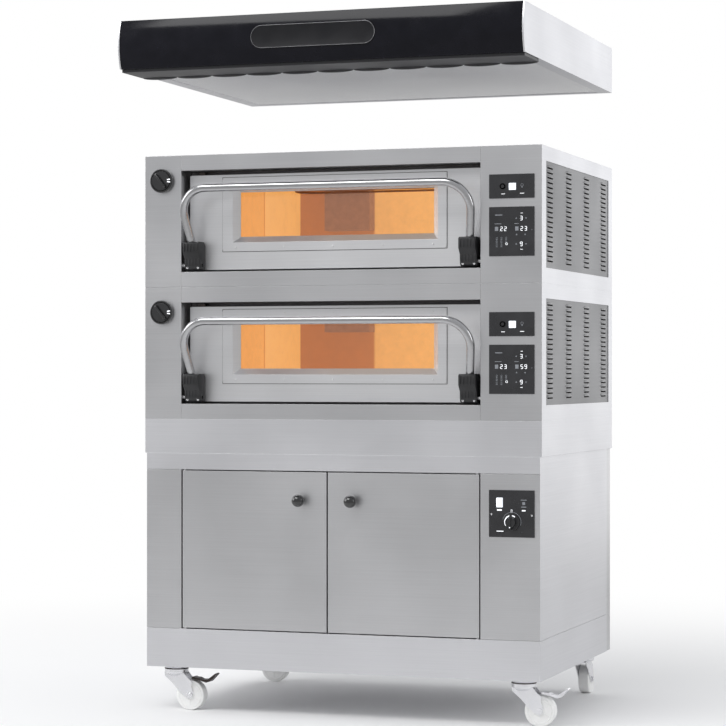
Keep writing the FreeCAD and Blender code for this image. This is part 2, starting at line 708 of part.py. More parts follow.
def door_handle(deck):
    """Bent tube: a bar across the window with two arms that lean back to their sockets."""
    foot = DECK_FOOT[deck]
    middle = number(MOUTH_MIDDLE)
    bar = (number(f"{FRONT} - handle_reach"), number(f"{foot} + bottom_rail + handle_rise"))
    socket = (number(f"{FRONT} + 12"), number(f"{foot} + bottom_rail + block_height - 26"))
    feet = number("handle_foot_half")
    corner = number("handle_half")
    corners = [
        (middle - feet, *socket), (middle - corner, *bar), (middle + corner, *bar), (middle + feet, *socket)
    ]
    path = bent_path(corners, number("handle_bend"))
    outer = swept_tube(path, number("handle_tube"))
    bore = swept_tube(path, number("handle_tube - handle_wall"))
    node(f"{deck}_door_handle", shaped(f"{deck}_handle_tube", outer.cut(bore)))


def handle_blocks(deck):
    """Two sockets on the door's lower corners; each carries a tube foot and turns on a pin."""
    foot = DECK_FOOT[deck]
    pivot = (f"({FRONT} + pivot_depth)", f"({foot} + bottom_rail + pivot_rise)")
    low = "(-pivot_rise + 4)"
    outline = [
        ("door_recess - pivot_depth - 0.3", low), (-6, low), (-17, -9), (-20, 4), (-20.5, 22), (-37, 42),
        (-38, "block_height - pivot_rise - 6"), (-30, "block_height - pivot_rise"),
        ("door_recess - pivot_depth - 10", "block_height - pivot_rise"),
        ("door_recess - pivot_depth - 0.3", "block_height - pivot_rise - 12"),
    ]
    bar_line = [number(f"{FRONT} - handle_reach"), number(f"{foot} + bottom_rail + handle_rise")]
    socket = [number(f"{FRONT} + 12"), number(f"{foot} + bottom_rail + block_height - 26")]
    middle = number(MOUTH_MIDDLE)
    pieces = []
    for side in (-1, 1):
        centre = f"({MOUTH_MIDDLE} + {side} * (handle_foot_half - 1))"
        solid = padded("SocketBlock", "YZ_Plane", outline, "block_width",
                       (f"{centre} - block_width / 2", *pivot))
        bore = rod("pivot_radius + 0.06", "block_width + 20", (f"{centre} - block_width / 2 - 10", *pivot), "x")
        start = FreeCAD.Vector(middle + side * number("handle_foot_half"), *socket)
        end = FreeCAD.Vector(middle + side * number("handle_half"), *bar_line)
        along = (end - start).normalize()
        socket_bore = Part.makeCylinder(number("handle_tube + 0.05"), 90, start - along * 0.3, along)
        hole = shaped("SocketHole", socket_bore)
        pieces.append(cut(solid, bore, hole))
    node(f"{deck}_handle_blocks", group(*pieces))


def door_seal(deck):
    """Woven gasket on the flange, round the chamber mouth."""
    foot = DECK_FOOT[deck]
    low = f"({foot} + chamber_floor)"
    tall = "(mouth_top - chamber_floor)"
    outer = rounded(block(
        ("chamber_width + 44", 6, f"{tall} + 44"),
        (f"{CHAMBER_LEFT} - 22", f"{FLANGE_FACE} - 6", f"{low} - 22")), 10, "y")
    hole = block(("chamber_width + 16", 20, f"{tall} + 16"),
                 (f"{CHAMBER_LEFT} - 8", f"{FLANGE_FACE} - 12", f"{low} - 8"))
    return cut(outer, hole)


# ---------------------------------------------------------------- plinth and proving cabinet


def plinth():
    wrap = block(("body_width", "body_depth", "plinth_height"), ("-body_width / 2", FRONT, PROVER_TOP))
    hollow = block(
        ("body_width - 2 * sheet_gauge", "body_depth - 2 * sheet_gauge", "plinth_height"),
        ("-body_width / 2 + sheet_gauge", f"{FRONT} + sheet_gauge", f"{PROVER_TOP} - sheet_gauge"),
    )
    node("plinth", cut(wrap, hollow))


def prover_band(low, tall):
    """A closed box band with the cabinet's outline."""
    outer = block((PROVER_WIDTH, "body_depth - rear_cover_depth", tall), (f"-{PROVER_SIDE}", FRONT, low))
    hollow = block(
        (f"{PROVER_WIDTH} - 2 * sheet_gauge", "body_depth - rear_cover_depth - 2 * sheet_gauge",
         f"{tall} - 2 * sheet_gauge"),
        (f"-{PROVER_SIDE} + sheet_gauge", f"{FRONT} + sheet_gauge", f"{low} + sheet_gauge"),
    )
    return cut(outer, hollow)


def prover_shell():
    """Side and back walls, crown band, and the liner round the proving space."""
    low = f"({BASE_TOP} + seam_gap)"
    tall = "(prover_height - base_height - crown_height - seam_gap)"
    inner_right = f"({MOUTH_RIGHT} + sheet_gauge)"
    walls = [
        block(("sheet_gauge", "body_depth - rear_cover_depth - sheet_gauge", tall),
              (f"-{PROVER_SIDE}", f"{FRONT} + sheet_gauge", low)),
        block(("sheet_gauge", "body_depth - rear_cover_depth - sheet_gauge", tall),
              (f"{PROVER_SIDE} - sheet_gauge", f"{FRONT} + sheet_gauge", low)),
        block((PROVER_WIDTH, "sheet_gauge", tall),
              (f"-{PROVER_SIDE}", f"{BACK} - rear_cover_depth - sheet_gauge", low)),
        block(("sheet_gauge", "body_depth - 80", tall), (f"{MOUTH_LEFT} - 30", f"{FRONT} + 24", low)),
        block(("sheet_gauge", "body_depth - 80", tall), (inner_right, f"{FRONT} + 24", low)),
    ]
    crown = prover_band(f"({PROVER_TOP} - crown_height)", "crown_height")
    node("prover_cabinet", fuse(crown, *walls))


def prover_back():
    """Deep rear cover with a cable hole, the full height of the cabinet."""
    cover = block(
        (f"{PROVER_WIDTH} - 2", "rear_cover_depth - 1", "prover_height - 2"),
        (f"-{PROVER_SIDE} + 1", f"{BACK} - rear_cover_depth + 0.5", "castor_height + 1"),
    )
    hollow = block(
        (f"{PROVER_WIDTH} - 6", 60, "prover_height - 6"),
        (f"-{PROVER_SIDE} + 3", f"{BACK} - 62.5", "castor_height + 3"),
    )
    cable = rod("cable_radius", 30, ("prover_cable_place", f"{BACK} - 20", "castor_height + cable_rise"), "y")
    node("prover_back_cover", cut(cover, hollow, cable))


def prover_base():
    node("prover_base", prover_band("castor_height", "base_height"))


def prover_front():
    """Left post, control column with its panel opening, and the door pivot pins."""
    low = f"({BASE_TOP} + seam_gap)"
    tall = "(prover_height - base_height - crown_height - 2 * seam_gap)"
    left = fuse(
        block((f"{MOUTH_LEFT} + {PROVER_SIDE}", "sheet_gauge", tall), (f"-{PROVER_SIDE}", FRONT, low)),
        block(("sheet_gauge", 24, tall), (f"{MOUTH_LEFT} - sheet_gauge", FRONT, low)),
    )
    right = cut(
        fuse(
            block((f"{PROVER_SIDE} - {MOUTH_RIGHT}", "sheet_gauge", tall), (MOUTH_RIGHT, FRONT, low)),
            block(("sheet_gauge", 24, tall), (MOUTH_RIGHT, FRONT, low)),
        ),
        block(("panel_width - 10", 20, "prover_panel_height - 10"),
              (f"{PANEL_LEFT} + 5", f"{FRONT} - 10", f"{PROVER_PANEL_FOOT} + 5")),
    )
    pins = []
    for x in (f"{MOUTH_LEFT} + prover_door_gap + hinge_inset", f"{MOUTH_RIGHT} - prover_door_gap - hinge_inset"):
        for z in (BASE_TOP, f"{PROVER_DOOR_TOP} - 14"):
            pins.append(rod("hinge_pin", 14, (x, f"{FRONT} + hinge_inset", z)))
    node("prover_front_frame", group(left, right, *pins))


def prover_doors():
    low = f"({BASE_TOP} + prover_door_gap)"
    tall = f"({PROVER_DOOR_TOP} - {BASE_TOP} - 2 * prover_door_gap)"
    sides = {
        "left": (f"({MOUTH_LEFT} + prover_door_gap)", "(door_split - prover_door_gap / 2)"),
        "right": ("(door_split + prover_door_gap / 2)", f"({MOUTH_RIGHT} - prover_door_gap)"),
    }
    for side, (start, end) in sides.items():
        slab = rounded(
            block((f"{end} - {start}", "prover_door_depth", tall), (start, FRONT, low)), 2, "z"
        )
        pivot = f"({start} + hinge_inset)" if side == "left" else f"({end} - hinge_inset)"
        bores = [
            rod("hinge_pin + 0.06", 20, (pivot, f"{FRONT} + hinge_inset", z))
            for z in (f"{low} - 9.8", f"{low} + {tall} - 10.2")
        ]
        stem = -1 if side == "left" else 1
        x = f"(door_split + {stem} * ball_place)"
        height = f"({PROVER_DOOR_TOP} - ball_drop)"
        hollow = block(
            (f"{end} - {start} - 2 * prover_door_rim", "prover_door_depth", f"{tall} - 2 * prover_door_rim"),
            (f"{start} + prover_door_rim", f"{FRONT} + door_skin", f"{low} + prover_door_rim"),
        )
        cover = block(
            (f"{end} - {start} - 2 * prover_door_rim", "door_cover", f"{tall} - 2 * prover_door_rim"),
            (f"{start} + prover_door_rim", f"{FRONT} + prover_door_depth - door_cover",
             f"{low} + prover_door_rim"),
        )
        node(f"prover_door_{side}", group(cut(slab, hollow, *bores), cover))
        outline = [(0, 0), (13, 0), (11, 4), (8, 10), (8, 22), (0, 22)]
        stalk = revolved(f"Stalk_{side}", outline, (x, FRONT, height), FORWARD)
        node(f"prover_knob_{side}", fuse(stalk, ball("ball_radius", (x, f"{FRONT} - ball_reach", height))))


def prover_panel():
    """Black square panel with a switch opening and the thermostat's shaft hole."""
    low = PROVER_PANEL_FOOT
    plate = rounded(
        block(("panel_width + 1", "plate_gauge", "prover_panel_height"),
              (f"{PANEL_LEFT} - 0.5", f"{FRONT} - plate_gauge", low)), 2, "y"
    )
    back = block(("panel_width - 12", "plate_back_depth", "prover_panel_height - 14"),
                 (f"{PANEL_LEFT} + 6", f"{FRONT} - 1", f"{low} + 7"))
    rocker_hole = block((22, 60, 32), (f"{PANEL_LEFT} + 23.5", f"{FRONT} - 10", f"{low} + 95"))
    shaft = rod(
        4.06, 60, (f"{PANEL_LEFT} + thermostat_place", f"{FRONT} - 10", f"{low} + thermostat_rise"), "y"
    )
    node("prover_control_panel", cut(fuse(plate, back), rocker_hole, shaft))
    outline = [(0, -15), (-4, -15), (-2.4, 0), (-4, 15), (0, 15), (9, 9), (9, -9)]
    x, y, z = (f"({PANEL_LEFT} + 34.5)", f"({FRONT} - 2.4)", f"({low} + 111)")
    body = padded("prover_rocker_body", "YZ_Plane", outline, 20, (f"{x} - 10", y, z))
    node("prover_rocker_switch", turned(body, FreeCAD.Vector(1, 0, 0), 5, (x, f"{y} + 4", z)))
    knob_outline = [
        (0, 0), (27, 0), (27.5, 2), (27.5, 5), (25, 7), (18, 8), (17, 20), (16, 22), (0, 22.5)
    ]
    at = (f"({PANEL_LEFT} + thermostat_place)", f"({FRONT} - 4)", f"({low} + thermostat_rise)")
    knob = revolved("thermostat_body", knob_outline, at, FORWARD)
    bar = rounded(block((9, 12, 50), (f"{at[0]} - 4.5", f"{at[1]} - 24.5", f"{at[2]} - 25")), 3, "y")
    node("prover_thermostat_knob", fuse(knob, bar, rod(4, 22, (at[0], f"{at[1]} - 1", at[2]), "y")))


def tray_guides():
    """Angle rails for proving trays, seven pairs."""
    pieces = []
    for step in range(7):
        z = f"({BASE_TOP} + 60 + {step} * 65)"
        for x, leg in ((f"({MOUTH_LEFT} - 28)", 0), (f"({MOUTH_RIGHT} + sheet_gauge)", -24)):
            shelf = block((24, "body_depth - 180", 2), (f"{x} + {leg}", f"{FRONT} + 50", z))
            wall = block((2, "body_depth - 180", 22), (f"{x} + {-2 if leg else 0}", f"{FRONT} + 50", z))
            pieces.append(fuse(shelf, wall))
    node("prover_tray_guides", group(*pieces))


# ---------------------------------------------------------------- castors

CASTORS = {
    "front_left": (-1, -1, 0),
    "front_right": (1, -1, 0),
    "rear_left": (-1, 1, 0),
    "rear_right": (1, 1, 90),
}


def castor_axis(side_x, side_y):
    x = f"({side_x} * (body_width / 2 - castor_inset_x))"
    y = f"({FRONT} + castor_inset_y)" if side_y < 0 else f"({BACK} - castor_inset_back)"
    return x, y


def castor_plates():
    """Top plate with the fixed half of the swivel race, four alike."""
    pieces = []
    for side_x, side_y, _ in CASTORS.values():
        x, y = castor_axis(side_x, side_y)
        plate = rounded(
            block(("castor_plate_length", "castor_plate_width", 4),
                  (f"{x} - castor_plate_length / 2", f"{y} - castor_plate_width / 2", "castor_height - 4")), 8, "z"
        )
        race = cone((38, 34), 7, (x, y, "castor_height - 11"))
        pin = rod(6, 22, (x, y, "castor_height - 26"))
        pieces.append(fuse(plate, race, pin))
    node("castor_plates", group(*pieces))


def castor(name, side_x, side_y, turn):
    """Swivel fork with its axle, wheel and, at the front, the brake pedal."""
    x, y = castor_axis(side_x, side_y)
    spin = FreeCAD.Rotation(FreeCAD.Vector(0, 0, 1), turn)
    trail = "castor_trail"
    crown = "(castor_height - 12)"
    half = "(wheel_width / 2 + 2.5)"
    cap = revolved(
        f"{name}_cap",
        [(6.06, -26), (24, -26), (38, -16), (40, -12), (40, -2), (36, 0), (6.06, 0)],
        (0, 0, crown),
    )
    cheek_outline = [
        (-36, 124), (34, 124), (48, 108), (64, 96), (62, 80), ("castor_trail + 12", 60),
        ("castor_trail + 11", 44), ("castor_trail", 36), ("castor_trail - 12", 40), (20, 60), (-6, 88),
        (-34, 112),
    ]
    cheeks = [
        padded(f"{name}_cheek", "XZ_Plane", cheek_outline, 3, (0, f"{side} * {half} + 1.5", 0))
        for side in (-1, 1)
    ]
    bridge = block((62, "wheel_width + 6", 4), (-30, "-wheel_width / 2 - 3", "castor_height - 37"))
    axle = rod("axle_radius", "wheel_width + 18", (trail, "-wheel_width / 2 - 9", "wheel_radius"), "y")
    nuts = [
        rod(10, 5, (trail, place, "wheel_radius"), "y")
        for place in ("-wheel_width / 2 - 8.5", "wheel_width / 2 + 3.5")
    ]
    fork = group(fuse(cap, *cheeks, bridge, axle, *nuts))
    fork.Placement = FreeCAD.Placement(FreeCAD.Vector(number(x), number(y), 0), spin)
    node(f"castor_fork_{name}", fork)
    rim = "wheel_radius"
    tread = "wheel_width / 2"
    outline = [
        ("axle_radius + 0.06", f"-{tread}"), (18, f"-{tread}"), (20, f"-{tread} + 5"), (38, f"-{tread} + 5"),
        (40, f"-{tread}"), (f"{rim} - 4", f"-{tread}"), (rim, f"-{tread} + 5"), (rim, f"{tread} - 5"),
        (f"{rim} - 4", tread), (40, tread), (38, f"{tread} - 5"), (20, f"{tread} - 5"), (18, tread),
        ("axle_radius + 0.06", tread),
    ]
    wheel = group(revolved(f"{name}_wheel", outline, (trail, 0, rim), FORWARD))
    wheel.Placement = FreeCAD.Placement(FreeCAD.Vector(number(x), number(y), 0), spin)
    node(f"castor_wheel_{name}", wheel)
    if side_y > 0:
        return
    lever = padded(
        f"{name}_lever", "XZ_Plane",
        [(62, 111), (84, 109), (96, 104), (118, 104), (146, 125), (150, 122), (126, 97), (112, 93), (84, 101),
         (62, 104)],
        "wheel_width - 6", (0, "wheel_width / 2 - 3", 0),
    )
    pivot = rod(4, "wheel_width + 1", (66, "-wheel_width / 2 - 0.5", 107.5), "y")
    pedal = group(fuse(lever, pivot))
    pedal.Placement = FreeCAD.Placement(FreeCAD.Vector(number(x), number(y), 0), spin)
    node(f"castor_pedal_{name}", pedal)


# ---------------------------------------------------------------- hood


def hood():
    depth = "(body_depth + hood_overhang - visor_depth)"
    start = f"({HOOD_FRONT} + visor_depth)"
    wrap = block(("body_width", depth, "hood_height"), ("-body_width / 2", start, HOOD_FOOT))
    hollow = block(
        ("body_width - 2 * sheet_gauge", f"{depth} - 2 * sheet_gauge", "hood_height"),
        ("-body_width / 2 + sheet_gauge", f"{start} + sheet_gauge", f"{HOOD_FOOT} - sheet_gauge"),
    )
    rim = block(
        ("body_width - 2", f"{depth} - 2", "sheet_gauge"),
        ("-body_width / 2 + 1", f"{start} + 1", HOOD_FOOT),
    )
    window = block(
        ("body_width - 2 * hood_flange", "body_depth + hood_overhang - lip_reach - hood_rear_flange", 20),
        ("-body_width / 2 + hood_flange", f"{HOOD_FRONT} + lip_reach", f"{HOOD_FOOT} - 10"),
    )
    collar = rod("collar_radius", "collar_height + sheet_gauge",
                 (0, "collar_place", f"{HOOD_FOOT} + hood_height - sheet_gauge"))
    bore = rod("collar_radius - sheet_gauge", "collar_height + 60",
               (0, "collar_place", f"{HOOD_FOOT} + hood_height - 30"))
    cheeks = [
        bowed_sheet("Cheek", "visor_depth + 1", place, 5, "visor_bulge + 2")
        for place in ("-body_width / 2", "body_width / 2 - 5")
    ]
    shell = cut(fuse(wrap, collar, *cheeks), hollow, bore)
    node("hood_casing", fuse(shell, cut(rim, window)))


def bowed_sheet(label, back, left, width, bulge):
    """A slab whose front face bows outwards between its top and its bottom edge."""
    y_edge = number(f"{HOOD_FRONT} + visor_bulge + 2")
    y_crown = number(f"{HOOD_FRONT} + visor_bulge + 2 - ({bulge})")
    y_back = number(f"{HOOD_FRONT} + {back}")
    low = number(HOOD_FOOT)
    high = number(f"{HOOD_FOOT} + hood_height")
    x = number(left)
    bottom = FreeCAD.Vector(x, y_edge, low)
    crown = FreeCAD.Vector(x, y_crown, (low + high) / 2)
    top = FreeCAD.Vector(x, y_edge, high)
    edges = [
        Part.Arc(bottom, crown, top).toShape(),
        Part.LineSegment(top, FreeCAD.Vector(x, y_back, high)).toShape(),
        Part.LineSegment(FreeCAD.Vector(x, y_back, high), FreeCAD.Vector(x, y_back, low)).toShape(),
        Part.LineSegment(FreeCAD.Vector(x, y_back, low), bottom).toShape(),
    ]
    face = Part.Face(Part.Wire(edges))
    return shaped(label, face.extrude(FreeCAD.Vector(number(width), 0, 0)))


def hood_front():
    """Glossy bowed visor between the casing's cheeks."""
    node("hood_visor", bowed_sheet(
        "Visor", "visor_depth - 0.5", "-body_width / 2 + 5.3", "body_width - 10.6", "visor_bulge"))


def hood_gutter():
    """Dark plate under the front of the hood; its rear lip is a row of shallow scallops."""
    half = number("body_width / 2 - 4")
    near = number(f"{HOOD_FRONT} + 26")
    far = number(f"{HOOD_FRONT} + lip_reach")
    low = number(f"{HOOD_FOOT} - 10")
    bites = 11
    pitch = 2 * half / bites
    spots = [FreeCAD.Vector(half - pitch * step, far, low) for step in range(bites + 1)]
    edges = [
        Part.Arc(a, (a + b) / 2 + FreeCAD.Vector(0, 11, 0), b).toShape() for a, b in zip(spots, spots[1:])
    ]
    corners = [spots[-1], FreeCAD.Vector(-half, near, low), FreeCAD.Vector(half, near, low), spots[0]]
    edges += [Part.LineSegment(a, b).toShape() for a, b in zip(corners, corners[1:])]
    face = Part.Face(Part.Wire(edges))
    node("hood_gutter", shaped("Gutter", face.extrude(FreeCAD.Vector(0, 0, 9.6))))


def hood_filter():
    """Grease filter mat in its frame: a plate with rows of long slots."""
    depth = "(body_depth + hood_overhang - lip_reach - hood_rear_flange)"
    plate = block(
        ("body_width - 2 * hood_flange + 30", f"{depth} + 20", 3),
        ("-body_width / 2 + hood_flange - 15", f"{HOOD_FRONT} + lip_reach - 10", f"{HOOD_FOOT} + sheet_gauge"),
    )
    slots = [
        block(("filter_slot", f"{depth} - 40", 20),
              (f"-body_width / 2 + hood_flange + 21 + {step} * filter_pitch", f"{HOOD_FRONT} + lip_reach + 20",
               f"{HOOD_FOOT} - 5"))
        for step in range(40)
    ]
    node("hood_filter", cut(plate, *slots))


# ---------------------------------------------------------------- assembly


def build():
    fill_sheet()
    for deck in DECKS:
        deck_casing(deck)
        deck_front(deck)
        control_column(deck)
        control_panels(deck)
        deck_switches(deck)
        vent_knob(deck)
        chamber(deck)
        deck_door(deck)
        window_frame(deck)
        door_glass(deck)
        door_handle(deck)
        handle_blocks(deck)
    vent_panels()
    node("chamber_insulation", group(*[chamber_wool(deck) for deck in DECKS]))
    node("hearth_stones", group(*[stone for deck in DECKS for stone in hearth(deck)]))
    node("door_seals", group(*[door_seal(deck) for deck in DECKS]))
    heights = [number(f"{DECK_FOOT[deck]} + {level}") for deck in DECKS
               for level in ("chamber_floor + 8", "chamber_top - 10")]
    prover_level = number(f"{BASE_TOP} + 16")
    node("heating_elements", group(*[serpentine(low) for low in heights + [prover_level]]))
    node("oven_lamps", group(lamp_box("lower", 74), lamp_box("upper", 146)))
    plinth()
    prover_base()
    prover_shell()
    prover_back()
    prover_front()
    prover_doors()
    prover_panel()
    tray_guides()
    castor_plates()
    for name, (side_x, side_y, turn) in CASTORS.items():
        castor(name, side_x, side_y, turn)
    hood()
    hood_front()
    hood_gutter()
    hood_filter()
    doc.recompute()


def write_parts():
    failed = [thing.Label for thing in doc.Objects if {"Invalid", "Error"} & set(thing.State)]
    failed += [name for name, piece in nodes if piece.Shape.isNull() or not piece.Shape.isValid()]
    if failed:
        raise SystemExit(f"failed: {failed}")
    os.makedirs("parts", exist_ok=True)
    for name, piece in nodes:
        piece.Shape.exportStep(f"parts/{name}.step")
    print(len(nodes), "parts written")


build()
write_parts()
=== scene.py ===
import bpy
import json
import math
from mathutils import Matrix, Vector

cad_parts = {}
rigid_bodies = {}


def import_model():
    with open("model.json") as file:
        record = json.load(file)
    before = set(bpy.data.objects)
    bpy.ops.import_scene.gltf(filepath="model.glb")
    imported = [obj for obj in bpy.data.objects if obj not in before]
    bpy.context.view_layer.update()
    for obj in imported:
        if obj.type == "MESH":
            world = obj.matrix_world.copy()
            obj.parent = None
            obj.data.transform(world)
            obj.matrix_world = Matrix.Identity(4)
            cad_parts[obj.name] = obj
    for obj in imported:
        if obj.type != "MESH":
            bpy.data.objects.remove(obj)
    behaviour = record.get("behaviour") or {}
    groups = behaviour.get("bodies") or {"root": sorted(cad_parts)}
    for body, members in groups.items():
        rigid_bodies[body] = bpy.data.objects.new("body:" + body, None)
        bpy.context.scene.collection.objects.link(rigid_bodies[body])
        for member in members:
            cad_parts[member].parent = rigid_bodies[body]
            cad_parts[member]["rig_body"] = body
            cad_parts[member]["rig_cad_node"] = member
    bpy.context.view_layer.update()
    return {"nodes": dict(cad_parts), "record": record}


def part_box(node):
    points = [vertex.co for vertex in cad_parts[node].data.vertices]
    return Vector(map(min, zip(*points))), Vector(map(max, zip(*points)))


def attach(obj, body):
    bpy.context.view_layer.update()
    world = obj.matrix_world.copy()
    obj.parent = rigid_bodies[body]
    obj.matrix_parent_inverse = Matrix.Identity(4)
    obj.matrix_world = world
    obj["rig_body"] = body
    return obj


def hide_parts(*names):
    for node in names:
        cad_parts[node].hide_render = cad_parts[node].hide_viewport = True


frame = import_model()
nodes = frame["nodes"]
decks = ("lower", "upper")
corners = ("front_left", "front_right", "rear_left", "rear_right")
print("frame loaded with", len(nodes), "nodes")


# picking and modelling helpers


def clearPick():
    bpy.ops.object.select_all(action="DESELECT")


def pickOnly(piece):
    clearPick()
    piece.select_set(True)
    bpy.context.view_layer.objects.active = piece


def nameActive(name):
    piece = bpy.context.object
    piece.name = name
    piece.data.name = name
    return piece


def settle(piece):  # place, turn and scale go into the mesh
    pickOnly(piece)
    bpy.ops.object.transform_apply(location=True, rotation=True, scale=True)
    return piece


def startBlock(name, low, high):
    low, high = Vector(low), Vector(high)
    clearPick()
    bpy.ops.mesh.primitive_cube_add(size=1, location=(low + high) / 2)
    piece = nameActive(name)
    piece.scale = high - low
    return settle(piece)


turnTo = {"x": (0, math.pi / 2, 0), "y": (math.pi / 2, 0, 0), "z": (0, 0, 0)}


def startRod(name, centre, radius, depth, axis="z", sides=48):
    clearPick()
    bpy.ops.mesh.primitive_cylinder_add(
        vertices=sides, radius=radius, depth=depth, location=centre, rotation=turnTo[axis]
    )
    return settle(nameActive(name))


def startBall(name, centre, radius, rings=24):
    clearPick()
    bpy.ops.mesh.primitive_uv_sphere_add(segments=2 * rings, ring_count=rings, radius=radius, location=centre)
    return settle(nameActive(name))


def startRing(name, centre, radius, thick, axis="z", around=64, across=10):
    clearPick()
    bpy.ops.mesh.primitive_torus_add(location=centre, rotation=turnTo[axis], major_radius=radius,
                                     minor_radius=thick / 2, major_segments=around, minor_segments=across)
    return settle(nameActive(name))


def leaveEdit():
    bpy.ops.object.mode_set(mode="OBJECT")


def editFaces(piece, test):  # leaves edit mode on, with the tested faces picked
    pickOnly(piece)
    bpy.ops.object.mode_set(mode="EDIT")
    bpy.ops.mesh.select_mode(type="FACE")
    bpy.ops.mesh.select_all(action="DESELECT")
    leaveEdit()
    for face in piece.data.polygons:
        face.select = test(face)
    bpy.ops.object.mode_set(mode="EDIT")


def everyFace(face):
    return True


def facingFront(face):
    return face.normal.y < -0.9


def insetFaces(piece, test, thickness, depth=0.0):
    editFaces(piece, test)
    bpy.ops.mesh.inset(thickness=thickness, depth=0)
    if depth:
        bpy.ops.mesh.inset(thickness=0.0001, depth=depth)
    leaveEdit()
    return piece


def resizeFaces(piece, test, amount, about):
    editFaces(piece, test)
    bpy.ops.transform.resize(value=amount, center_override=about)
    leaveEdit()
    return piece


def extrudeFaces(piece, test, offset, shrink=1.0, about=None):
    editFaces(piece, test)
    bpy.ops.mesh.extrude_region_move(TRANSFORM_OT_translate={"value": offset})
    if shrink != 1.0:
        bpy.ops.transform.resize(value=(shrink,) * 3, center_override=about)
    leaveEdit()
    return piece


def applyModifier(piece, kind, **settings):
    pickOnly(piece)
    modifier = piece.modifiers.new(kind.title(), kind)
    for key, amount in settings.items():
        setattr(modifier, key, amount)
    bpy.ops.object.modifier_apply(modifier=modifier.name)
    return piece


def repeatPiece(piece, count, offset):
    return applyModifier(piece, "ARRAY", count=count, use_relative_offset=False, use_constant_offset=True,
                         constant_offset_displace=offset)


def softenEdges(piece, width, segments=3, angle=35):
    return applyModifier(
        piece, "BEVEL", width=width, segments=segments, limit_method="ANGLE", angle_limit=math.radians(angle)
    )


def turnBy(piece, angle, axis, about):  # turned in the mesh, about a point
    pickOnly(piece)
    bpy.ops.object.mode_set(mode="EDIT")
    bpy.ops.mesh.select_all(action="SELECT")
    bpy.ops.transform.rotate(value=-angle, orient_axis=axis, center_override=about)
    leaveEdit()
    return piece


def joinPieces(name, pieces):
    clearPick()
    for piece in pieces:
        piece.select_set(True)
    bpy.context.view_layer.objects.active = pieces[0]
    if len(pieces) > 1:
        bpy.ops.object.join()
    return nameActive(name)


def finishPiece(piece, body, slotName, *replaced, finish=None, angle=32):  # a slot's own finish unless told
    pickOnly(piece)
    bpy.ops.object.shade_smooth_by_angle(angle=math.radians(angle))
    piece.data.materials.clear()
    piece.data.materials.append(finishes[finish or slotName])
    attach(piece, body)
    if replaced:
        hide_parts(*replaced)
    return piece


# shader nodes and shared groups


def feedNode(tree, node, inputs):  # links a socket, and sets anything else
    for label, value in inputs.items():
        wanted = node.inputs[label]
        if isinstance(value, bpy.types.NodeSocket):
            tree.links.new(value, wanted)
        else:
            wanted.default_value = (*value, 1) if wanted.type == "RGBA" else value
    return node


def addNode(tree, kind, inputs=None, **settings):
    made = tree.nodes.new(kind)
    for key, amount in settings.items():
        setattr(made, key, amount)
    return feedNode(tree, made, inputs or {})


def addNoise(tree, vector, scale, detail=3.0, roughness=0.55):
    inputs = {"Vector": vector, "Scale": scale, "Detail": detail, "Roughness": roughness}
    return addNode(tree, "ShaderNodeTexNoise", inputs).outputs[0]


def addMath(tree, operation, first, second):
    return addNode(tree, "ShaderNodeMath", {0: first, 1: second}, operation=operation).outputs[0]


def addRange(tree, value, low, high, newLow=0.0, newHigh=1.0, kind="LINEAR"):
    inputs = {"Value": value, "From Min": low, "From Max": high, "To Min": newLow, "To Max": newHigh}
    return addNode(tree, "ShaderNodeMapRange", inputs, interpolation_type=kind).outputs["Result"]


def addMix(tree, factor, first, second):
    return addNode(tree, "ShaderNodeMix", {0: factor, 6: first, 7: second}, data_type="RGBA").outputs[2]


def ownPlace(tree):  # where the shaded point lies in its piece
    return addNode(tree, "ShaderNodeTexCoord").outputs["Object"]


def faceNormal(tree):
    return addNode(tree, "ShaderNodeNewGeometry").outputs["Normal"]


def tinted(colour, share):
    return tuple(min(1.0, part * share) for part in colour)


def newGroup(name, inputs, outputs):
    group = bpy.data.node_groups.new(name, "ShaderNodeTree")
    for label, kind, start in inputs:
        group.interface.new_socket(label, in_out="INPUT", socket_type=kind).default_value = start
    for label, kind in outputs:
        group.interface.new_socket(label, in_out="OUTPUT", socket_type=kind)
    return group, group.nodes.new("NodeGroupInput").outputs, group.nodes.new("NodeGroupOutput")


skinInputs = [("Dark", "NodeSocketColor", (0.5, 0.5, 0.5, 1)),
              ("Light", "NodeSocketColor", (0.7, 0.7, 0.7, 1)),
              ("Smooth", "NodeSocketFloat", 0.3), ("Rough", "NodeSocketFloat", 0.45)]
skinOutputs = [("Colour", "NodeSocketColor"), ("Roughness", "NodeSocketFloat"), ("Height", "NodeSocketFloat")]


def buildBrushedGroup():  # long faint streaks, and slow clouds as a hand-wiped sheet has
    stretch = ("Stretch", "NodeSocketVector", (2, 2, 260))
    group, given, out = newGroup("brushedSheet", [stretch, *skinInputs], skinOutputs)
    place = ownPlace(group)
    mapping = addNode(group, "ShaderNodeMapping", {"Vector": place, "Scale": given["Stretch"]})
    streak = addNoise(group, mapping.outputs[0], 1.0, 5.0, 0.7)
    cloud = addNoise(group, place, 2.6, 3.0, 0.5)
    speck = addNoise(group, place, 900.0, 1.0, 0.5)
    blend = addMath(group, "MULTIPLY", streak, 0.55)
    blend = addMath(group, "ADD", blend, addMath(group, "MULTIPLY", cloud, 0.3))
    blend = addMath(group, "ADD", blend, addMath(group, "MULTIPLY", speck, 0.15))
    feedNode(group, out, {
        "Colour": addMix(group, addRange(group, blend, 0.3, 0.7), given["Dark"], given["Light"]),
        "Roughness": addRange(group, cloud, 0.3, 0.7, given["Smooth"], given["Rough"]),
        "Height": streak,
    })
    return group


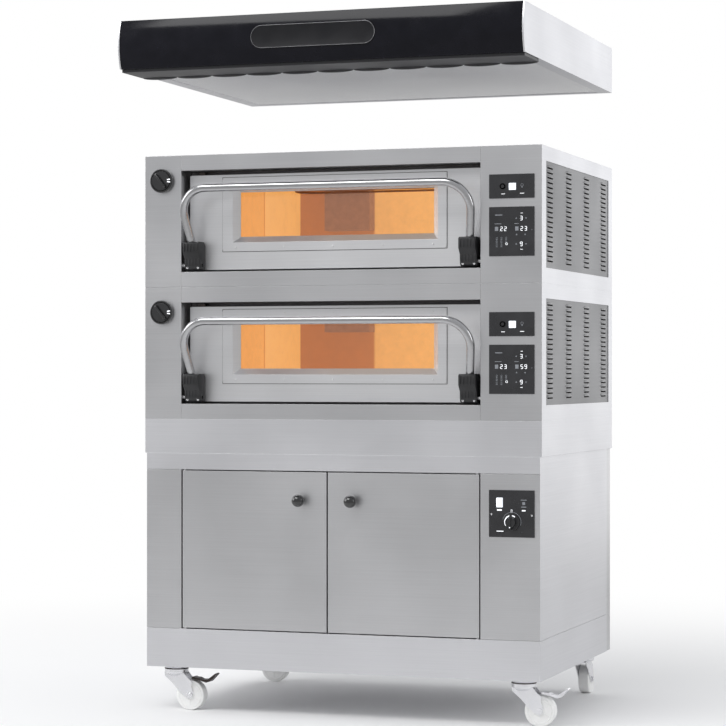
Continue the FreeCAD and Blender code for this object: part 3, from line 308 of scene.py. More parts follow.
def buildEdgeGroup():  # a folded sheet's rounded edge, and how far a point lies on it
    outputs = [("Normal", "NodeSocketVector"), ("Edge", "NodeSocketFloat")]
    group, given, out = newGroup("foldedEdge", [("Radius", "NodeSocketFloat", 0.001)], outputs)
    bevel = addNode(group, "ShaderNodeBevel", {"Radius": given["Radius"]}, samples=4).outputs[0]
    facing = addNode(group, "ShaderNodeVectorMath", {0: bevel, 1: faceNormal(group)}, operation="DOT_PRODUCT")
    feedNode(group, out, {"Normal": bevel, "Edge": addRange(group, facing.outputs["Value"], 0.995, 0.8)})
    return group


def buildMouldGroup():  # fine moulded grain with a few dull patches
    grain = ("Grain", "NodeSocketFloat", 700.0)
    group, given, out = newGroup("mouldedGrain", [grain, *skinInputs], skinOutputs)
    place = ownPlace(group)
    patch = addNoise(group, place, 14.0, 4.0, 0.6)
    feedNode(group, out, {
        "Colour": addMix(group, addRange(group, patch, 0.35, 0.7), given["Dark"], given["Light"]),
        "Roughness": addRange(group, patch, 0.35, 0.7, given["Smooth"], given["Rough"]),
        "Height": addNoise(group, place, given["Grain"], 2.0, 0.5),
    })
    return group


brushedGroup = buildBrushedGroup()
edgeGroup = buildEdgeGroup()
mouldGroup = buildMouldGroup()


# finishes


def newFinish(name):
    finish = bpy.data.materials.new(name)
    finish.use_nodes = True
    return finish, finish.node_tree, finish.node_tree.nodes["Principled BSDF"]


def addSkin(tree, group, **values):
    return addNode(tree, "ShaderNodeGroup", values, node_tree=group).outputs


def addRelief(tree, height, strength, distance, edge=0.0):  # the bumped normal, and where a rounded edge lies
    bump = addNode(tree, "ShaderNodeBump", {"Strength": strength, "Distance": distance, "Height": height})
    if not edge:
        return bump.outputs[0], None
    rounded = addSkin(tree, edgeGroup, Radius=edge)
    feedNode(tree, bump, {"Normal": rounded["Normal"]})
    return bump.outputs[0], rounded["Edge"]


def sheetSteel(name, dark, light, smooth, rough, stretch=(2, 2, 260), relief=0.05, edge=0.0012, metal=1.0):
    finish, tree, shader = newFinish(name)
    skin = addSkin(tree, brushedGroup, Stretch=stretch, Dark=dark, Light=light, Smooth=smooth, Rough=rough)
    normal, paintedEdgeHighlight = addRelief(tree, skin["Height"], relief, 0.0004, edge)
    # rounded edges lightened as a painted highlight
    colour = addMix(tree, paintedEdgeHighlight, skin["Colour"], tinted(light, 1.15)) if paintedEdgeHighlight else skin["Colour"]
    feedNode(tree, shader, {
        "Base Color": colour, "Metallic": metal, "Roughness": skin["Roughness"], "Normal": normal})
    return finish


def mouldedPlastic(name, dark, light, smooth, rough,
                   grain=700.0, relief=0.08, coat=0.0, edge=0.0008, shine=0.5):
    finish, tree, shader = newFinish(name)
    skin = addSkin(tree, mouldGroup, Grain=grain, Dark=dark, Light=light, Smooth=smooth, Rough=rough)
    feedNode(tree, shader, {
        "Base Color": skin["Colour"], "Roughness": skin["Roughness"],
        "Normal": addRelief(tree, skin["Height"], relief, 0.0003, edge)[0],
        "Coat Weight": coat, "Coat Roughness": 0.06, "Specular IOR Level": shine})
    return finish


def litFinish(name, colour, strength, pattern):  # a lamp behind a moulded cap; on printed ink the emission is painted glow
    finish, tree, shader = newFinish(name)
    cells = addRange(tree, addNoise(tree, ownPlace(tree), pattern, 1.0), 0.35, 0.6, 0.72, 1.0)
    shade = addMix(tree, cells, tinted(colour, 0.6), colour)
    feedNode(tree, shader, {
        "Base Color": shade, "Emission Color": shade, "Emission Strength": strength, "Roughness": 0.35})
    return finish


def addStops(tree, value, stops):  # a colour band along one measure of the piece
    ramp = addNode(tree, "ShaderNodeValToRGB", {0: value})
    band = ramp.color_ramp
    while len(band.elements) < len(stops):
        band.elements.new(0.5)
    for element, (place, colour) in zip(band.elements, stops):
        element.position = place
        element.color = (*colour, 1)
    return ramp.outputs[0]


def paintedOvenLight(name, colour, strength, base=(0.3, 0.17, 0.09)):  # painted warm oven light: emission on a dull surface that is no lamp
    finish, tree, shader = newFinish(name)
    mottle = addRange(tree, addNoise(tree, ownPlace(tree), 45.0, 5.0, 0.7), 0.3, 0.75)
    feedNode(tree, shader, {
        "Emission Color": addMix(tree, mottle, tinted(colour, 0.82), colour), "Emission Strength": strength,
        "Base Color": addMix(tree, mottle, tinted(base, 0.7), base), "Roughness": 0.75})
    return finish


# front, side and window tones are one stainless steel; the lighter side and window copies are painted light,
# vent is its own dark steel
steelTone = {
    "front": ((0.54, 0.54, 0.55), (0.62, 0.62, 0.63)),
    "side": ((0.64, 0.64, 0.66), (0.72, 0.72, 0.74)),
    "window": ((0.66, 0.66, 0.67), (0.75, 0.75, 0.76)),
    "vent": ((0.17, 0.17, 0.175), (0.22, 0.22, 0.225)),
}

finishes = {
    "stainless": sheetSteel("satinFront", *steelTone["front"], 0.30, 0.42),
    "sideSteelPaintedLight": sheetSteel("satinSidePaintedLight", *steelTone["side"], 0.34, 0.46),
    "window_steel": sheetSteel("windowSteelPaintedLight", *steelTone["window"], 0.36, 0.48, relief=0.03, edge=0.0008),
    "handle_steel": sheetSteel("polishedTube", (0.42, 0.42, 0.43), (0.52, 0.52, 0.53), 0.13, 0.22,
                               stretch=(2, 200, 200), relief=0.02, edge=0),
    "vent_steel": sheetSteel("louvredSteel", *steelTone["vent"], 0.34, 0.46, relief=0.04),
    "element_sheath": sheetSteel("elementSheath", (0.16, 0.10, 0.07), (0.30, 0.20, 0.15), 0.4, 0.6),
    "zinc_plate": sheetSteel("zincPlate", (0.72, 0.72, 0.74), (0.90, 0.90, 0.92), 0.22, 0.38,
                             stretch=(9, 9, 9), relief=0.03),
    "gutter_black": sheetSteel("gutterPaint", (0.016, 0.016, 0.019), (0.028, 0.028, 0.031), 0.34, 0.5,
                               metal=0.0),
    "filter_alloy": sheetSteel("filterAlloy", (0.78, 0.78, 0.79), (0.88, 0.88, 0.89), 0.35, 0.5),
    "black_plastic": mouldedPlastic("blackPlastic", (0.010, 0.010, 0.011), (0.022, 0.022, 0.024), 0.34, 0.5),
    "black_ball": mouldedPlastic("blackBall", (0.006, 0.006, 0.007), (0.012, 0.012, 0.013), 0.1, 0.2,
                                 relief=0.02, coat=0.8),
    "panel_black": mouldedPlastic("panelFoil", (0.014, 0.014, 0.016), (0.022, 0.022, 0.025), 0.22, 0.36,
                                  grain=1500.0, relief=0.04, coat=0.3),
    "visor_black": mouldedPlastic("visorAcrylic", (0.003, 0.003, 0.006), (0.006, 0.006, 0.010), 0.10, 0.16,
                                  grain=40.0, relief=0.01, shine=0.22),
    "nylon": mouldedPlastic("whiteNylon", (0.80, 0.80, 0.79), (0.90, 0.90, 0.89), 0.35, 0.5, relief=0.05),
    # painted oven glow on the lamp housing and on the hearth stones
    "lamp_housing": paintedOvenLight("lampHousingPaintedGlow", (0.21, 0.125, 0.085), 0.8),
    "refractory": paintedOvenLight("hearthStonePaintedGlow", (0.80, 0.36, 0.10), 0.55, (0.55, 0.42, 0.30)),
}
finishes["mineral_wool"] = mouldedPlastic("mineralWool", (0.42, 0.34, 0.18), (0.62, 0.54, 0.34), 0.85, 0.95,
                                          grain=260.0, relief=0.8, edge=0)
finishes["woven_seal"] = mouldedPlastic("wovenSeal", (0.24, 0.22, 0.19), (0.42, 0.39, 0.34), 0.8, 0.9,
                                        grain=420.0, relief=0.7, edge=0)
# white and grey print emit painted glow; the white also serves the display's lit digits
finishes["inkWhite"] = litFinish("printWhite", (0.90, 0.92, 0.95), 0.75, 500.0)
finishes["inkDim"] = litFinish("printGreyPaintedGlow", (0.20, 0.21, 0.23), 0.35, 500.0)
finishes["lit_switch"] = litFinish("litCap", (0.86, 0.90, 0.96), 0.85, 330.0)
finishes["badgePlate"] = mouldedPlastic("badgePlate", (0.007, 0.007, 0.009), (0.011, 0.011, 0.013), 0.3, 0.4,
                                        shine=0.3)
finishes["badgeLine"] = sheetSteel("badgeLine", (0.20, 0.20, 0.21), (0.30, 0.30, 0.31), 0.25, 0.4)
finishes["darkSteel"] = sheetSteel("darkSteel", (0.03, 0.025, 0.024), (0.10, 0.085, 0.08), 0.25, 0.4)


def paintedChamberGlow():  # painted glow, the lining emits light: left wall in three lit panels, back wall from painted brown shade to painted lamp light
    finish, tree, shader = newFinish("chamberLiningPaintedGlow")
    places = addNode(tree, "ShaderNodeSeparateXYZ", {0: ownPlace(tree)}).outputs
    facing = addNode(tree, "ShaderNodeSeparateXYZ", {0: faceNormal(tree)}).outputs
    low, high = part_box("upper_chamber")
    depth = addRange(tree, places[1], low.y, high.y)
    width = addRange(tree, places[0], low.x, high.x)
    seam = (0.66, 0.24, 0.05)
    # painted glow of the left wall in three panels, parted by darker seams
    wall = addStops(tree, depth, [
        (0.0, (0.80, 0.33, 0.07)), (0.125, (0.84, 0.35, 0.075)), (0.130, seam), (0.142, seam),
        (0.147, (0.88, 0.40, 0.10)), (0.520, (0.90, 0.43, 0.115)), (0.524, seam), (0.531, seam),
        (0.535, (0.96, 0.52, 0.17)), (1.0, (0.92, 0.47, 0.13))])
    # painted shade on the back wall's left part, painted lamp light to its right
    back = addStops(tree, width, [
        (0.0, (0.32, 0.12, 0.045)), (0.20, (0.34, 0.13, 0.05)), (0.372, (0.38, 0.15, 0.06)),
        (0.380, (0.84, 0.45, 0.15)), (0.80, (0.94, 0.54, 0.17)), (1.0, (0.90, 0.46, 0.12))])
    onWall = addRange(tree, facing[0], 0.4, 0.6)
    glow = addMix(tree, onWall, back, wall)
    mottle = addRange(tree, addNoise(tree, ownPlace(tree), 30.0, 6.0, 0.75), 0.25, 0.8, 0.86, 1.06)
    mottle = addMath(tree, "MULTIPLY", mottle, addRange(tree, depth, 0.004, 0.005))  # the painted glow stops at the flange, which keeps a darker base
    scaled = addNode(tree, "ShaderNodeVectorMath", {0: glow, "Scale": mottle}, operation="SCALE")
    feedNode(tree, shader, {
        "Emission Color": scaled.outputs[0], "Emission Strength": 0.78, "Roughness": 0.6,
        "Base Color": addMix(tree, mottle, (0.16, 0.15, 0.15), (0.34, 0.18, 0.09))})
    return finish


def glassFinish():
    finish, tree, shader = newFinish("doorGlass")
    haze = addNoise(tree, ownPlace(tree), 7.0, 4.0, 0.6)
    feedNode(tree, shader, {
        "Transmission Weight": 1.0, "IOR": 1.45, "Roughness": addRange(tree, haze, 0.4, 0.8, 0.0, 0.035),
        "Base Color": addMix(tree, haze, (0.99, 0.97, 0.94), (0.96, 0.94, 0.90))})
    return finish


finishes["chamber_steel"] = paintedChamberGlow()
finishes["window_glass"] = glassFinish()

# sides take the lighter steel copy as painted light
paintedLightSideNodes = [f"{deck}_casing" for deck in decks] + ["plinth", "prover_cabinet", "prover_base", "hood_casing"]
slotOf = {part["node"]: part["material_slot"] for part in frame["record"]["subparts"]}
for name, part in nodes.items():
    finish = finishes["sideSteelPaintedLight"] if name in paintedLightSideNodes else finishes[slotOf[name]]
    part.data.materials.clear()
    part.data.materials.append(finish)
# doors take the lighter window steel: painted light against the shade of their recess
for deck in decks:
    nodes[f"{deck}_door"].data.materials[0] = finishes["window_steel"]
nodes["castor_pedal_front_left"].data.materials[0] = finishes["darkSteel"]
print("finishes made and given to the nodes")


# camera, lights and floor

view = {"place": (2.6513, -7.9808, 1.1324), "turn": 18.907, "lens": 120.9, "shift": (0.0004, 0.0131)}


def placeCamera():
    clearPick()
    level = (math.radians(90), 0, math.radians(view["turn"]))
    bpy.ops.object.camera_add(location=view["place"], rotation=level)
    camera = bpy.context.object
    camera.data.lens = view["lens"]
    camera.data.sensor_width = 36
    camera.data.shift_x, camera.data.shift_y = view["shift"]
    bpy.context.scene.camera = camera


studio = {
    "front": {"place": (-2.8, -6.4, 8.0), "aim": (0, 0, 1.6), "size": (7.5, 3.4), "power": 420},
    "left": {"place": (-6.5, -3.0, 3.0), "aim": (0, 0, 1.2), "size": (3, 3.5), "power": 110},
    "right": {"place": (7.5, 0.5, 2.6), "aim": (0, 0, 1.2), "size": (4, 4), "power": 85},
    "behind": {"place": (2.5, 7.0, 2.2), "aim": (0, 0, 1.2), "size": (5, 4.4), "power": 44},
}


def placeLights():
    for name, light in studio.items():
        clearPick()
        bpy.ops.object.light_add(type="AREA", location=light["place"])
        lamp = bpy.context.object
        lamp.name = name + "Softbox"
        lamp.data.shape = "RECTANGLE"
        lamp.data.size, lamp.data.size_y = light["size"]
        lamp.data.energy = light["power"]
        toward = Vector(light["aim"]) - Vector(light["place"])
        lamp.rotation_euler = toward.to_track_quat("-Z", "Y").to_euler()


def paintRoom():  # dimmer before the object than behind it, and white to look at
    room = bpy.data.worlds.new("paleStudio")
    bpy.context.scene.world = room
    room.use_nodes = True
    tree = room.node_tree
    across = addNode(tree, "ShaderNodeTexCoord").outputs["Generated"]
    toward = addNode(tree, "ShaderNodeSeparateXYZ", {0: across}).outputs[1]
    light = addRange(tree, toward, -1.0, 0.6, 0.62, 0.80, "SMOOTHSTEP")
    seen = addNode(tree, "ShaderNodeLightPath").outputs["Is Camera Ray"]
    feedNode(tree, tree.nodes["Background"], {
        "Color": addMix(tree, seen, (0.90, 0.91, 0.93), (1.0, 1.0, 1.0)),
        "Strength": addMath(tree, "MAXIMUM", light, seen)})


floorSize = {"half": 60.0, "fadeFrom": 0.5, "fadeTo": 4.5}


def layFloor():
    clearPick()
    bpy.ops.mesh.primitive_plane_add(size=2 * floorSize["half"], location=(0, 0, 0))
    floor = nameActive("paleFloor")
    finish, tree, shader = newFinish("paleFloor")
    feedNode(tree, shader, {"Base Color": (0.93, 0.93, 0.93), "Roughness": 0.7, "Specular IOR Level": 0.1})
    away = addNode(tree, "ShaderNodeVectorMath", {0: ownPlace(tree)}, operation="LENGTH").outputs["Value"]
    fade = addRange(tree, away, floorSize["fadeFrom"], floorSize["fadeTo"], kind="SMOOTHSTEP")
    seen = addNode(tree, "ShaderNodeLightPath").outputs["Is Camera Ray"]
    glow = addNode(tree, "ShaderNodeEmission", {"Strength": addRange(tree, seen, 0.0, 1.0, 0.55, 1.0)})
    blend = addNode(tree, "ShaderNodeMixShader", {0: fade, 1: shader.outputs[0], 2: glow.outputs[0]})
    feedNode(tree, tree.nodes["Material Output"], {"Surface": blend.outputs[0]})
    floor.data.materials.append(finish)


placeCamera()
placeLights()
paintRoom()
layFloor()
bpy.context.scene.view_settings.view_transform = "Standard"
print("camera, lights and floor placed")


# baking doors: bent handle tube, socket blocks, window rivets, door stop, frame seam

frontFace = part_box("lower_front_frame")[0].y
deckFoot = {deck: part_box(f"{deck}_casing")[0].z for deck in decks}
doorBody = {deck: f"baking_door_{deck}" for deck in decks}


def bentLine(corners, bend, steps=14):  # points along straight runs joined by round bends
    spots = [Vector(corner) for corner in corners]
    line = [spots[0]]
    for before, here, after in zip(spots, spots[1:], spots[2:]):
        back = (before - here).normalized()
        ahead = (after - here).normalized()
        half = back.angle(ahead) / 2
        centre = here + (back + ahead).normalized() * bend / math.sin(half)
        start = here + back * bend / math.tan(half) - centre
        end = here + ahead * bend / math.tan(half) - centre
        for step in range(steps + 1):
            line.append(centre + start.normalized().slerp(end.normalized(), step / steps) * bend)
    return line + [spots[-1]]


def sweepTube(name, line, radius, around=8):
    clearPick()
    bpy.ops.curve.primitive_bezier_curve_add()
    tube = bpy.context.object
    tube.data.splines.clear()
    spline = tube.data.splines.new("POLY")
    spline.points.add(len(line) - 1)
    for point, place in zip(spline.points, line):
        point.co = (*place, 1)
    tube.data.dimensions = "3D"
    tube.data.bevel_depth = radius
    tube.data.bevel_resolution = around
    tube.data.use_fill_caps = True
    bpy.ops.object.convert(target="MESH")
    return settle(nameActive(name))


handleBar = {"radius": 0.0135, "half": 0.507, "bend": 0.088, "footIn": 0.028,
             "socketBack": 0.012, "socketRise": 0.124}


def makeHandle(deck):
    low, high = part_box(f"{deck}_door_handle")
    radius = handleBar["radius"]
    left, right = low.x + radius, high.x - radius
    reach = handleBar["half"] - (right - left) / 2  # the corner lies beyond the tube's widest place
    corner = (left - reach, right + reach)
    bar = (low.y + radius, high.z - radius)
    socket = (frontFace + handleBar["socketBack"], deckFoot[deck] + handleBar["socketRise"])
    line = bentLine(
        [(corner[0] + handleBar["footIn"], *socket), (corner[0], *bar), (corner[1], *bar),
         (corner[1] - handleBar["footIn"], *socket)], handleBar["bend"])
    tube = sweepTube(f"{deck}HandleTube", line, radius, 10)
    finishPiece(tube, doorBody[deck], "handle_steel", f"{deck}_door_handle", angle=50)


socketBlock = {"wide": 0.056, "ribs": 5, "rib": 0.0035, "proud": 0.0014, "heel": 0.0178, "screw": 0.0038}


def makeBlocks(deck):
    pickOnly(nodes[f"{deck}_handle_blocks"])
    bpy.ops.object.duplicate(linked=False)
    blocks = nameActive(f"{deck}SocketBlocks")
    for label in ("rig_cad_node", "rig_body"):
        if label in blocks:
            del blocks[label]
    blocks.parent = None
    applyModifier(blocks, "WELD", merge_threshold=0.00005)
    applyModifier(blocks, "DECIMATE", decimate_type="DISSOLVE", angle_limit=math.radians(4))
    softenEdges(blocks, 0.0016, 2, 50)
    low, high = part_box(f"{deck}_handle_blocks")
    wide = socketBlock["wide"]
    upper = (high.z - 0.034, high.z - 0.008)
    lower = (low.z + 0.018, low.z + 0.040)
    parts = [blocks]
    for start in (low.x, high.x - wide):
        for step in range(socketBlock["ribs"]):
            x = start + wide * (step + 0.5) / socketBlock["ribs"]
            for face, (foot, top) in ((low.y, upper), (low.y + socketBlock["heel"], lower)):
                rib = startBlock("rib", (x - socketBlock["rib"] / 2, face - socketBlock["proud"], foot),
                                 (x + socketBlock["rib"] / 2, face + 0.004, top))
                parts.append(softenEdges(rib, 0.0007, 2))
    blocks = joinPieces(f"{deck}SocketBlocks", parts)
    finishPiece(blocks, doorBody[deck], "black_plastic", f"{deck}_handle_blocks")
    screws = []
    for start in (low.x, high.x - wide):
        for share in (0.16, 0.84):
            spot = (start + wide * share, low.y + 0.0215, low.z + 0.010)
            screws.append(makeScrew(spot, socketBlock["screw"]))
    finishPiece(joinPieces(f"{deck}BlockScrews", screws), doorBody[deck], "zinc_plate")


def makeScrew(centre, radius, back=False):  # pan head with a sunk middle
    outward = 1 if back else -1
    head = startRod("screw", centre, radius, 0.0024, "y", 16)
    insetFaces(head, lambda face: face.normal.y * outward > 0.9, radius * 0.62, -0.0008)
    return softenEdges(head, 0.0006, 2)


rivetRow = {"radius": 0.0034, "shares": (0.06, 0.28, 0.50, 0.72, 0.94), "inset": 0.013, "flatten": 0.45}


def makeRivets(deck):
    low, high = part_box(f"{deck}_window_frame")
    rivets = []
    for share in rivetRow["shares"]:
        for z in (low.z + rivetRow["inset"], high.z - rivetRow["inset"]):
            rivet = startBall("rivet", (low.x + (high.x - low.x) * share, low.y, z), rivetRow["radius"], 6)
            rivets.append(resizeFaces(rivet, everyFace, (1, rivetRow["flatten"], 1), (0, low.y, 0)))
    finishPiece(joinPieces(f"{deck}WindowRivets", rivets), doorBody[deck], "window_steel")


def makeCatch(deck):  # small stop bracket over the door's left end
    low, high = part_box(f"{deck}_door")
    start = Vector((low.x + 0.030, low.y + 0.004, high.z + 0.0015))
    catch = startBlock(f"{deck}DoorStop", start, start + Vector((0.012, 0.026, 0.0105)))
    extrudeFaces(catch, lambda face: face.normal.x > 0.9, (0.016, 0, 0), 0.8, start)
    softenEdges(catch, 0.0012, 2)
    finishPiece(catch, "oven", "black_plastic", finish="darkSteel")


seam = {"wide": 0.0016, "deep": 0.0006}


def makeFrameSeam(deck):  # shadow line where the window frame meets the door
    low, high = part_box(f"{deck}_window_frame")
    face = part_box(f"{deck}_door")[0].y
    wide, near = seam["wide"], face - seam["deep"]
    strips = [
        startBlock("seam", (low.x - wide, near, low.z - wide), (low.x, face, high.z + wide)),
        startBlock("seam", (high.x, near, low.z - wide), (high.x + wide, face, high.z + wide)),
        startBlock("seam", (low.x, near, low.z - wide), (high.x, face, low.z)),
        startBlock("seam", (low.x, near, high.z), (high.x, face, high.z + wide)),
    ]
    for strip in strips:
        softenEdges(strip, 0.0002, 1)
    finishPiece(joinPieces(f"{deck}FrameSeam", strips), doorBody[deck], "black_plastic", finish="darkSteel")


for deck in decks:
    makeHandle(deck)
    makeBlocks(deck)
    makeRivets(deck)
    makeCatch(deck)
for deck in decks:
    makeFrameSeam(deck)
print("baking doors dressed")


# steam knobs

steamKnob = {"radius": 0.040, "skirt": 0.0115, "ridge": (0.013, 0.0165, 0.062), "lean": 38}


def makeSteamKnob(deck):
    low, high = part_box(f"{deck}_vent_knob")
    x, z = (low.x + high.x) / 2, (low.z + high.z) / 2
    back = frontFace - 0.0015
    radius, skirt = steamKnob["radius"], steamKnob["skirt"]
    disc = startRod("knobDisc", (x, back - skirt / 2, z), radius, skirt, "y", 64)
    insetFaces(disc, facingFront, 0.0035)
    extrudeFaces(disc, facingFront, (0, -0.0022, 0), 0.96, (x, back, z))
    insetFaces(disc, facingFront, 0.007, -0.0012)
    softenEdges(disc, 0.0012, 3, 25)
    wide, deep, tall = steamKnob["ridge"]
    ridge = startBlock("knobRidge", (x - wide / 2, back - skirt - deep, z - tall / 2),
                       (x + wide / 2, back - skirt + 0.002, z + tall / 2))
    resizeFaces(ridge, facingFront, (0.62, 1, 0.90), (x, back, z))
    softenEdges(ridge, 0.003, 4)
    turnBy(ridge, math.radians(-steamKnob["lean"]), "Y", (x, back, z))
    knob = joinPieces(f"{deck}SteamKnob", [disc, ridge])
    finishPiece(knob, f"damper_knob_{deck}", "black_plastic", f"{deck}_vent_knob", finish="black_ball")
    ticks = []
    for turn in (-8, 8):
        tick = startBlock("tick", (x + 0.023, back - skirt - 0.0032, z - 0.0019),
                          (x + 0.034, back - skirt, z + 0.0019))
        softenEdges(tick, 0.0005, 2)
        ticks.append(turnBy(tick, math.radians(turn), "Y", (x, back, z)))
    finishPiece(joinPieces(f"{deck}KnobTicks", ticks), f"damper_knob_{deck}", "lit_switch", finish="inkWhite")


for deck in decks:
    makeSteamKnob(deck)
print("steam knobs made")


# control column: switches, display digits and icons

digitParts = {"0": "abcdef", "2": "abged", "3": "abgcd", "5": "afgcd", "9": "abcdfg"}


def makeSegment(centre, length, wide, upright):  # one pointed bar of a lit digit
    bar = startRod("segment", centre, wide / 2, 0.0007, "y", 6)
    if not upright:
        turnBy(bar, math.radians(90), "Y", centre)
    stretch = Vector((0, 0, length / 2 - wide / 2)) if upright else Vector((length / 2 - wide / 2, 0, 0))
    for vertex in bar.data.vertices:  # pull the two ends apart
        along = (vertex.co - Vector(centre)).dot(stretch)
        vertex.co += stretch * (1 if along > 1e-9 else -1)
    return bar


def makeDigit(mark, x, y, z, tall):
    wide, thick = tall * 0.52, tall * 0.15
    half = tall / 2
    spots = {
        "a": (0, half, False), "g": (0, 0, False), "d": (0, -half, False), "f": (-wide / 2, half / 2, True),
        "b": (wide / 2, half / 2, True), "e": (-wide / 2, -half / 2, True), "c": (wide / 2, -half / 2, True),
    }
    bars = []
    for part in digitParts[mark]:
        across, up, upright = spots[part]
        length = half * 0.94 if upright else wide * 0.94
        bars.append(makeSegment((x + across, y, z + up), length, thick, upright))
    return bars


def makeMark(x, y, z, wide, tall):  # a small printed bar or field with rounded corners
    mark = startBlock("mark", (x - wide / 2, y - 0.0003, z - tall / 2),
                      (x + wide / 2, y + 0.0004, z + tall / 2))
    return softenEdges(mark, min(wide, tall) * 0.22, 2)


def printMarks(at, bars):
    return [makeMark(*at(across, down), wide / 1000, tall / 1000) for across, down, wide, tall in bars]


def makeArrow(x, y, z, size, up=True):
    arrow = startRod("arrow", (x, y, z), size, 0.0007, "y", 3)
    turnBy(arrow, math.radians(0 if up else 180), "Y", (x, y, z))
    return insetFaces(arrow, facingFront, size * 0.2)


def makeRing(x, y, z, radius, thick):
    return startRing("ring", (x, y, z), radius, thick, "y", 28, 6)


display = {  # millimetres from the panel's left and top edges
    "readings": {"lower": ("3", "23", "59", "9"), "upper": ("3", "22", "23", "9")},
    "single": ((106.5, 37), (106.5, 119)), "pairs": ((41, 54, 70), (108, 121, 70)),
    "tall": 12.5, "brightBars": ((108, 21, 7, 1.6), (107, 136, 8, 1.6)),
    "dimBars": ((30, 54, 22, 2.0), (91, 54, 14, 2.0), (141, 74, 2.4, 2.4), (32, 26, 24, 3.0)),
    "fields": ((25, 70, 11, 13), (92, 70, 11, 13)),
    "upArrows": ((90, 37), (90, 119), (91, 89)), "downArrows": ((122, 37), (122, 119), (119, 89)),
    "iconColumns": (25.6, 41, 56.6), "iconRows": (101, 112, 124), "noIcon": (56.6, 124), "ring": (58, 118),
    "height": 157, "captions": ((46.4, 63, 12), (109, 62, 14)), "lampIcon": (109, 36),
}


def dressDisplay(deck):
    low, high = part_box(f"{deck}_control_panels")
    face = low.y - 0.0003
    at = lambda across, down: (low.x + across / 1000, face, low.z + (display["height"] - down) / 1000)
    bright, dim = [], []
    tall = display["tall"] / 1000
    first, leftPair, rightPair, last = display["readings"][deck]
    for mark, spot in zip((first, last), display["single"]):
        bright += makeDigit(mark, *at(*spot), tall)
    for pair, (one, two, down) in zip((leftPair, rightPair), display["pairs"]):
        bright += makeDigit(pair[0], *at(one, down), tall) + makeDigit(pair[1], *at(two, down), tall)
    bright += printMarks(at, display["brightBars"])
    bright.append(makeRing(*at(*display["ring"]), 0.0032, 0.0014))
    dim += printMarks(at, display["dimBars"] + display["fields"])
    for spot in display["upArrows"]:
        dim.append(makeArrow(*at(*spot), 0.0034))
    for spot in display["downArrows"]:
        dim.append(makeArrow(*at(*spot), 0.0034, False))
    for across in display["iconColumns"]:
        for down in display["iconRows"]:
            if (across, down) != display["noIcon"]:
                dim.append(makeRing(*at(across, down - 2), 0.0024, 0.0010))
                dim.append(makeMark(*at(across, down + 3), 0.006, 0.0016))
    for across, down, wide in display["captions"]:  # on the switch panel, from its top edge
        spot = (low.x + across / 1000, face, high.z - down / 1000)
        bright.append(makeMark(*spot, wide / 1000, 0.0018))
    lampIcon = (low.x + display["lampIcon"][0] / 1000, face, high.z - display["lampIcon"][1] / 1000)
    dim.append(makeRing(*lampIcon, 0.0042, 0.0012))
    dim.append(makeMark(lampIcon[0], face, lampIcon[2] - 0.0065, 0.004, 0.003))
    finishPiece(joinPieces(f"{deck}DisplayLit", bright), "oven", "lit_switch", finish="inkWhite")
    finishPiece(joinPieces(f"{deck}DisplayDim", dim), "oven", "panel_black", finish="inkDim")


def makeRocker(name, body, node, tilt):
    low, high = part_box(node)
    middle = (low + high) / 2
    wide = high.x - low.x
    tall = wide if "prover" not in node else 0.030
    face = frontFace - 0.0062
    cap = startBlock(name, (low.x, face, middle.z - tall / 2), (high.x, high.y, middle.z + tall / 2))
    softenEdges(cap, 0.0012, 3)
    insetFaces(cap, lambda part: part.normal.y < -0.95 and part.area > 1e-4, 0.0022, -0.0006)
    turnBy(cap, math.radians(tilt), "X", (middle.x, frontFace + 0.002, middle.z))
    finishPiece(cap, body, "lit_switch", node)


def makeButton(deck):
    low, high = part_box(f"{deck}_push_button")
    middle = (low + high) / 2
    radius = (high.x - low.x) / 2
    button = startRod(f"{deck}RoundButton", middle, radius, high.y - low.y, "y", 40)
    insetFaces(button, facingFront, 0.0012)
    insetFaces(button, facingFront, 0.0006, -0.0009)
    insetFaces(button, facingFront, 0.0022)
    softenEdges(button, 0.0004, 2, 25)
    finishPiece(button, f"push_button_{deck}", "black_plastic", f"{deck}_push_button")


for deck in decks:
    dressDisplay(deck)
    makeRocker(f"{deck}RockerCap", f"power_rocker_{deck}", f"{deck}_rocker_switch", 5)
    makeButton(deck)
makeRocker("proverRockerCap", "rocker_prover", "prover_rocker_switch", 4)
print("controls made")


# proving cabinet: ball knobs, thermostat and its panel's marks

ballKnob = {"radius": 0.021, "neck": 0.0075, "collar": 0.0125}


def makeBallKnob(side):
    low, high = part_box(f"prover_knob_{side}")
    x, z = (low.x + high.x) / 2, (low.z + high.z) / 2
    radius = ballKnob["radius"]
    ball = startBall("knobBall", (x, low.y + radius, z), radius, 28)
    collar = startRod("knobCollar", (x, frontFace - 0.0025, z), ballKnob["collar"], 0.005, "y", 40)
    resizeFaces(collar, facingFront, (0.8, 1, 0.8), (x, frontFace, z))
    softenEdges(collar, 0.0008, 2)
    neck = startRod("knobNeck", (x, frontFace - 0.010, z), ballKnob["neck"], 0.016, "y", 32)
    knob = joinPieces(f"{side}BallKnob", [ball, collar, neck])
    finishPiece(knob, f"cabinet_door_{side}", "black_ball", f"prover_knob_{side}")


for side in ("left", "right"):
    makeBallKnob(side)

thermostat = {"across": 0.0755, "rise": 0.049, "skirt": 0.0275, "grip": 0.0165, "dot": 0.0019,
              "dotDrop": 0.0165, "arc": 0.0205, "arcWide": 0.0036, "arcFrom": -118, "arcSweep": 150}


def sweepPrint(name, centre, radius, wide, start, sweep):  # a printed arc of short overlapping dashes
    half = Vector((0.0005 + radius * 0.07, 0.0004, wide / 2))
    middle = Vector(centre) + Vector((0, 0, radius))
    count = max(3, int(sweep / 9))
    dashes = []
    for step in range(count):
        dash = startBlock("dash", middle - half, middle + half)
        dashes.append(turnBy(dash, math.radians(start + sweep * step / (count - 1)), "Y", centre))
    return joinPieces(name, dashes)


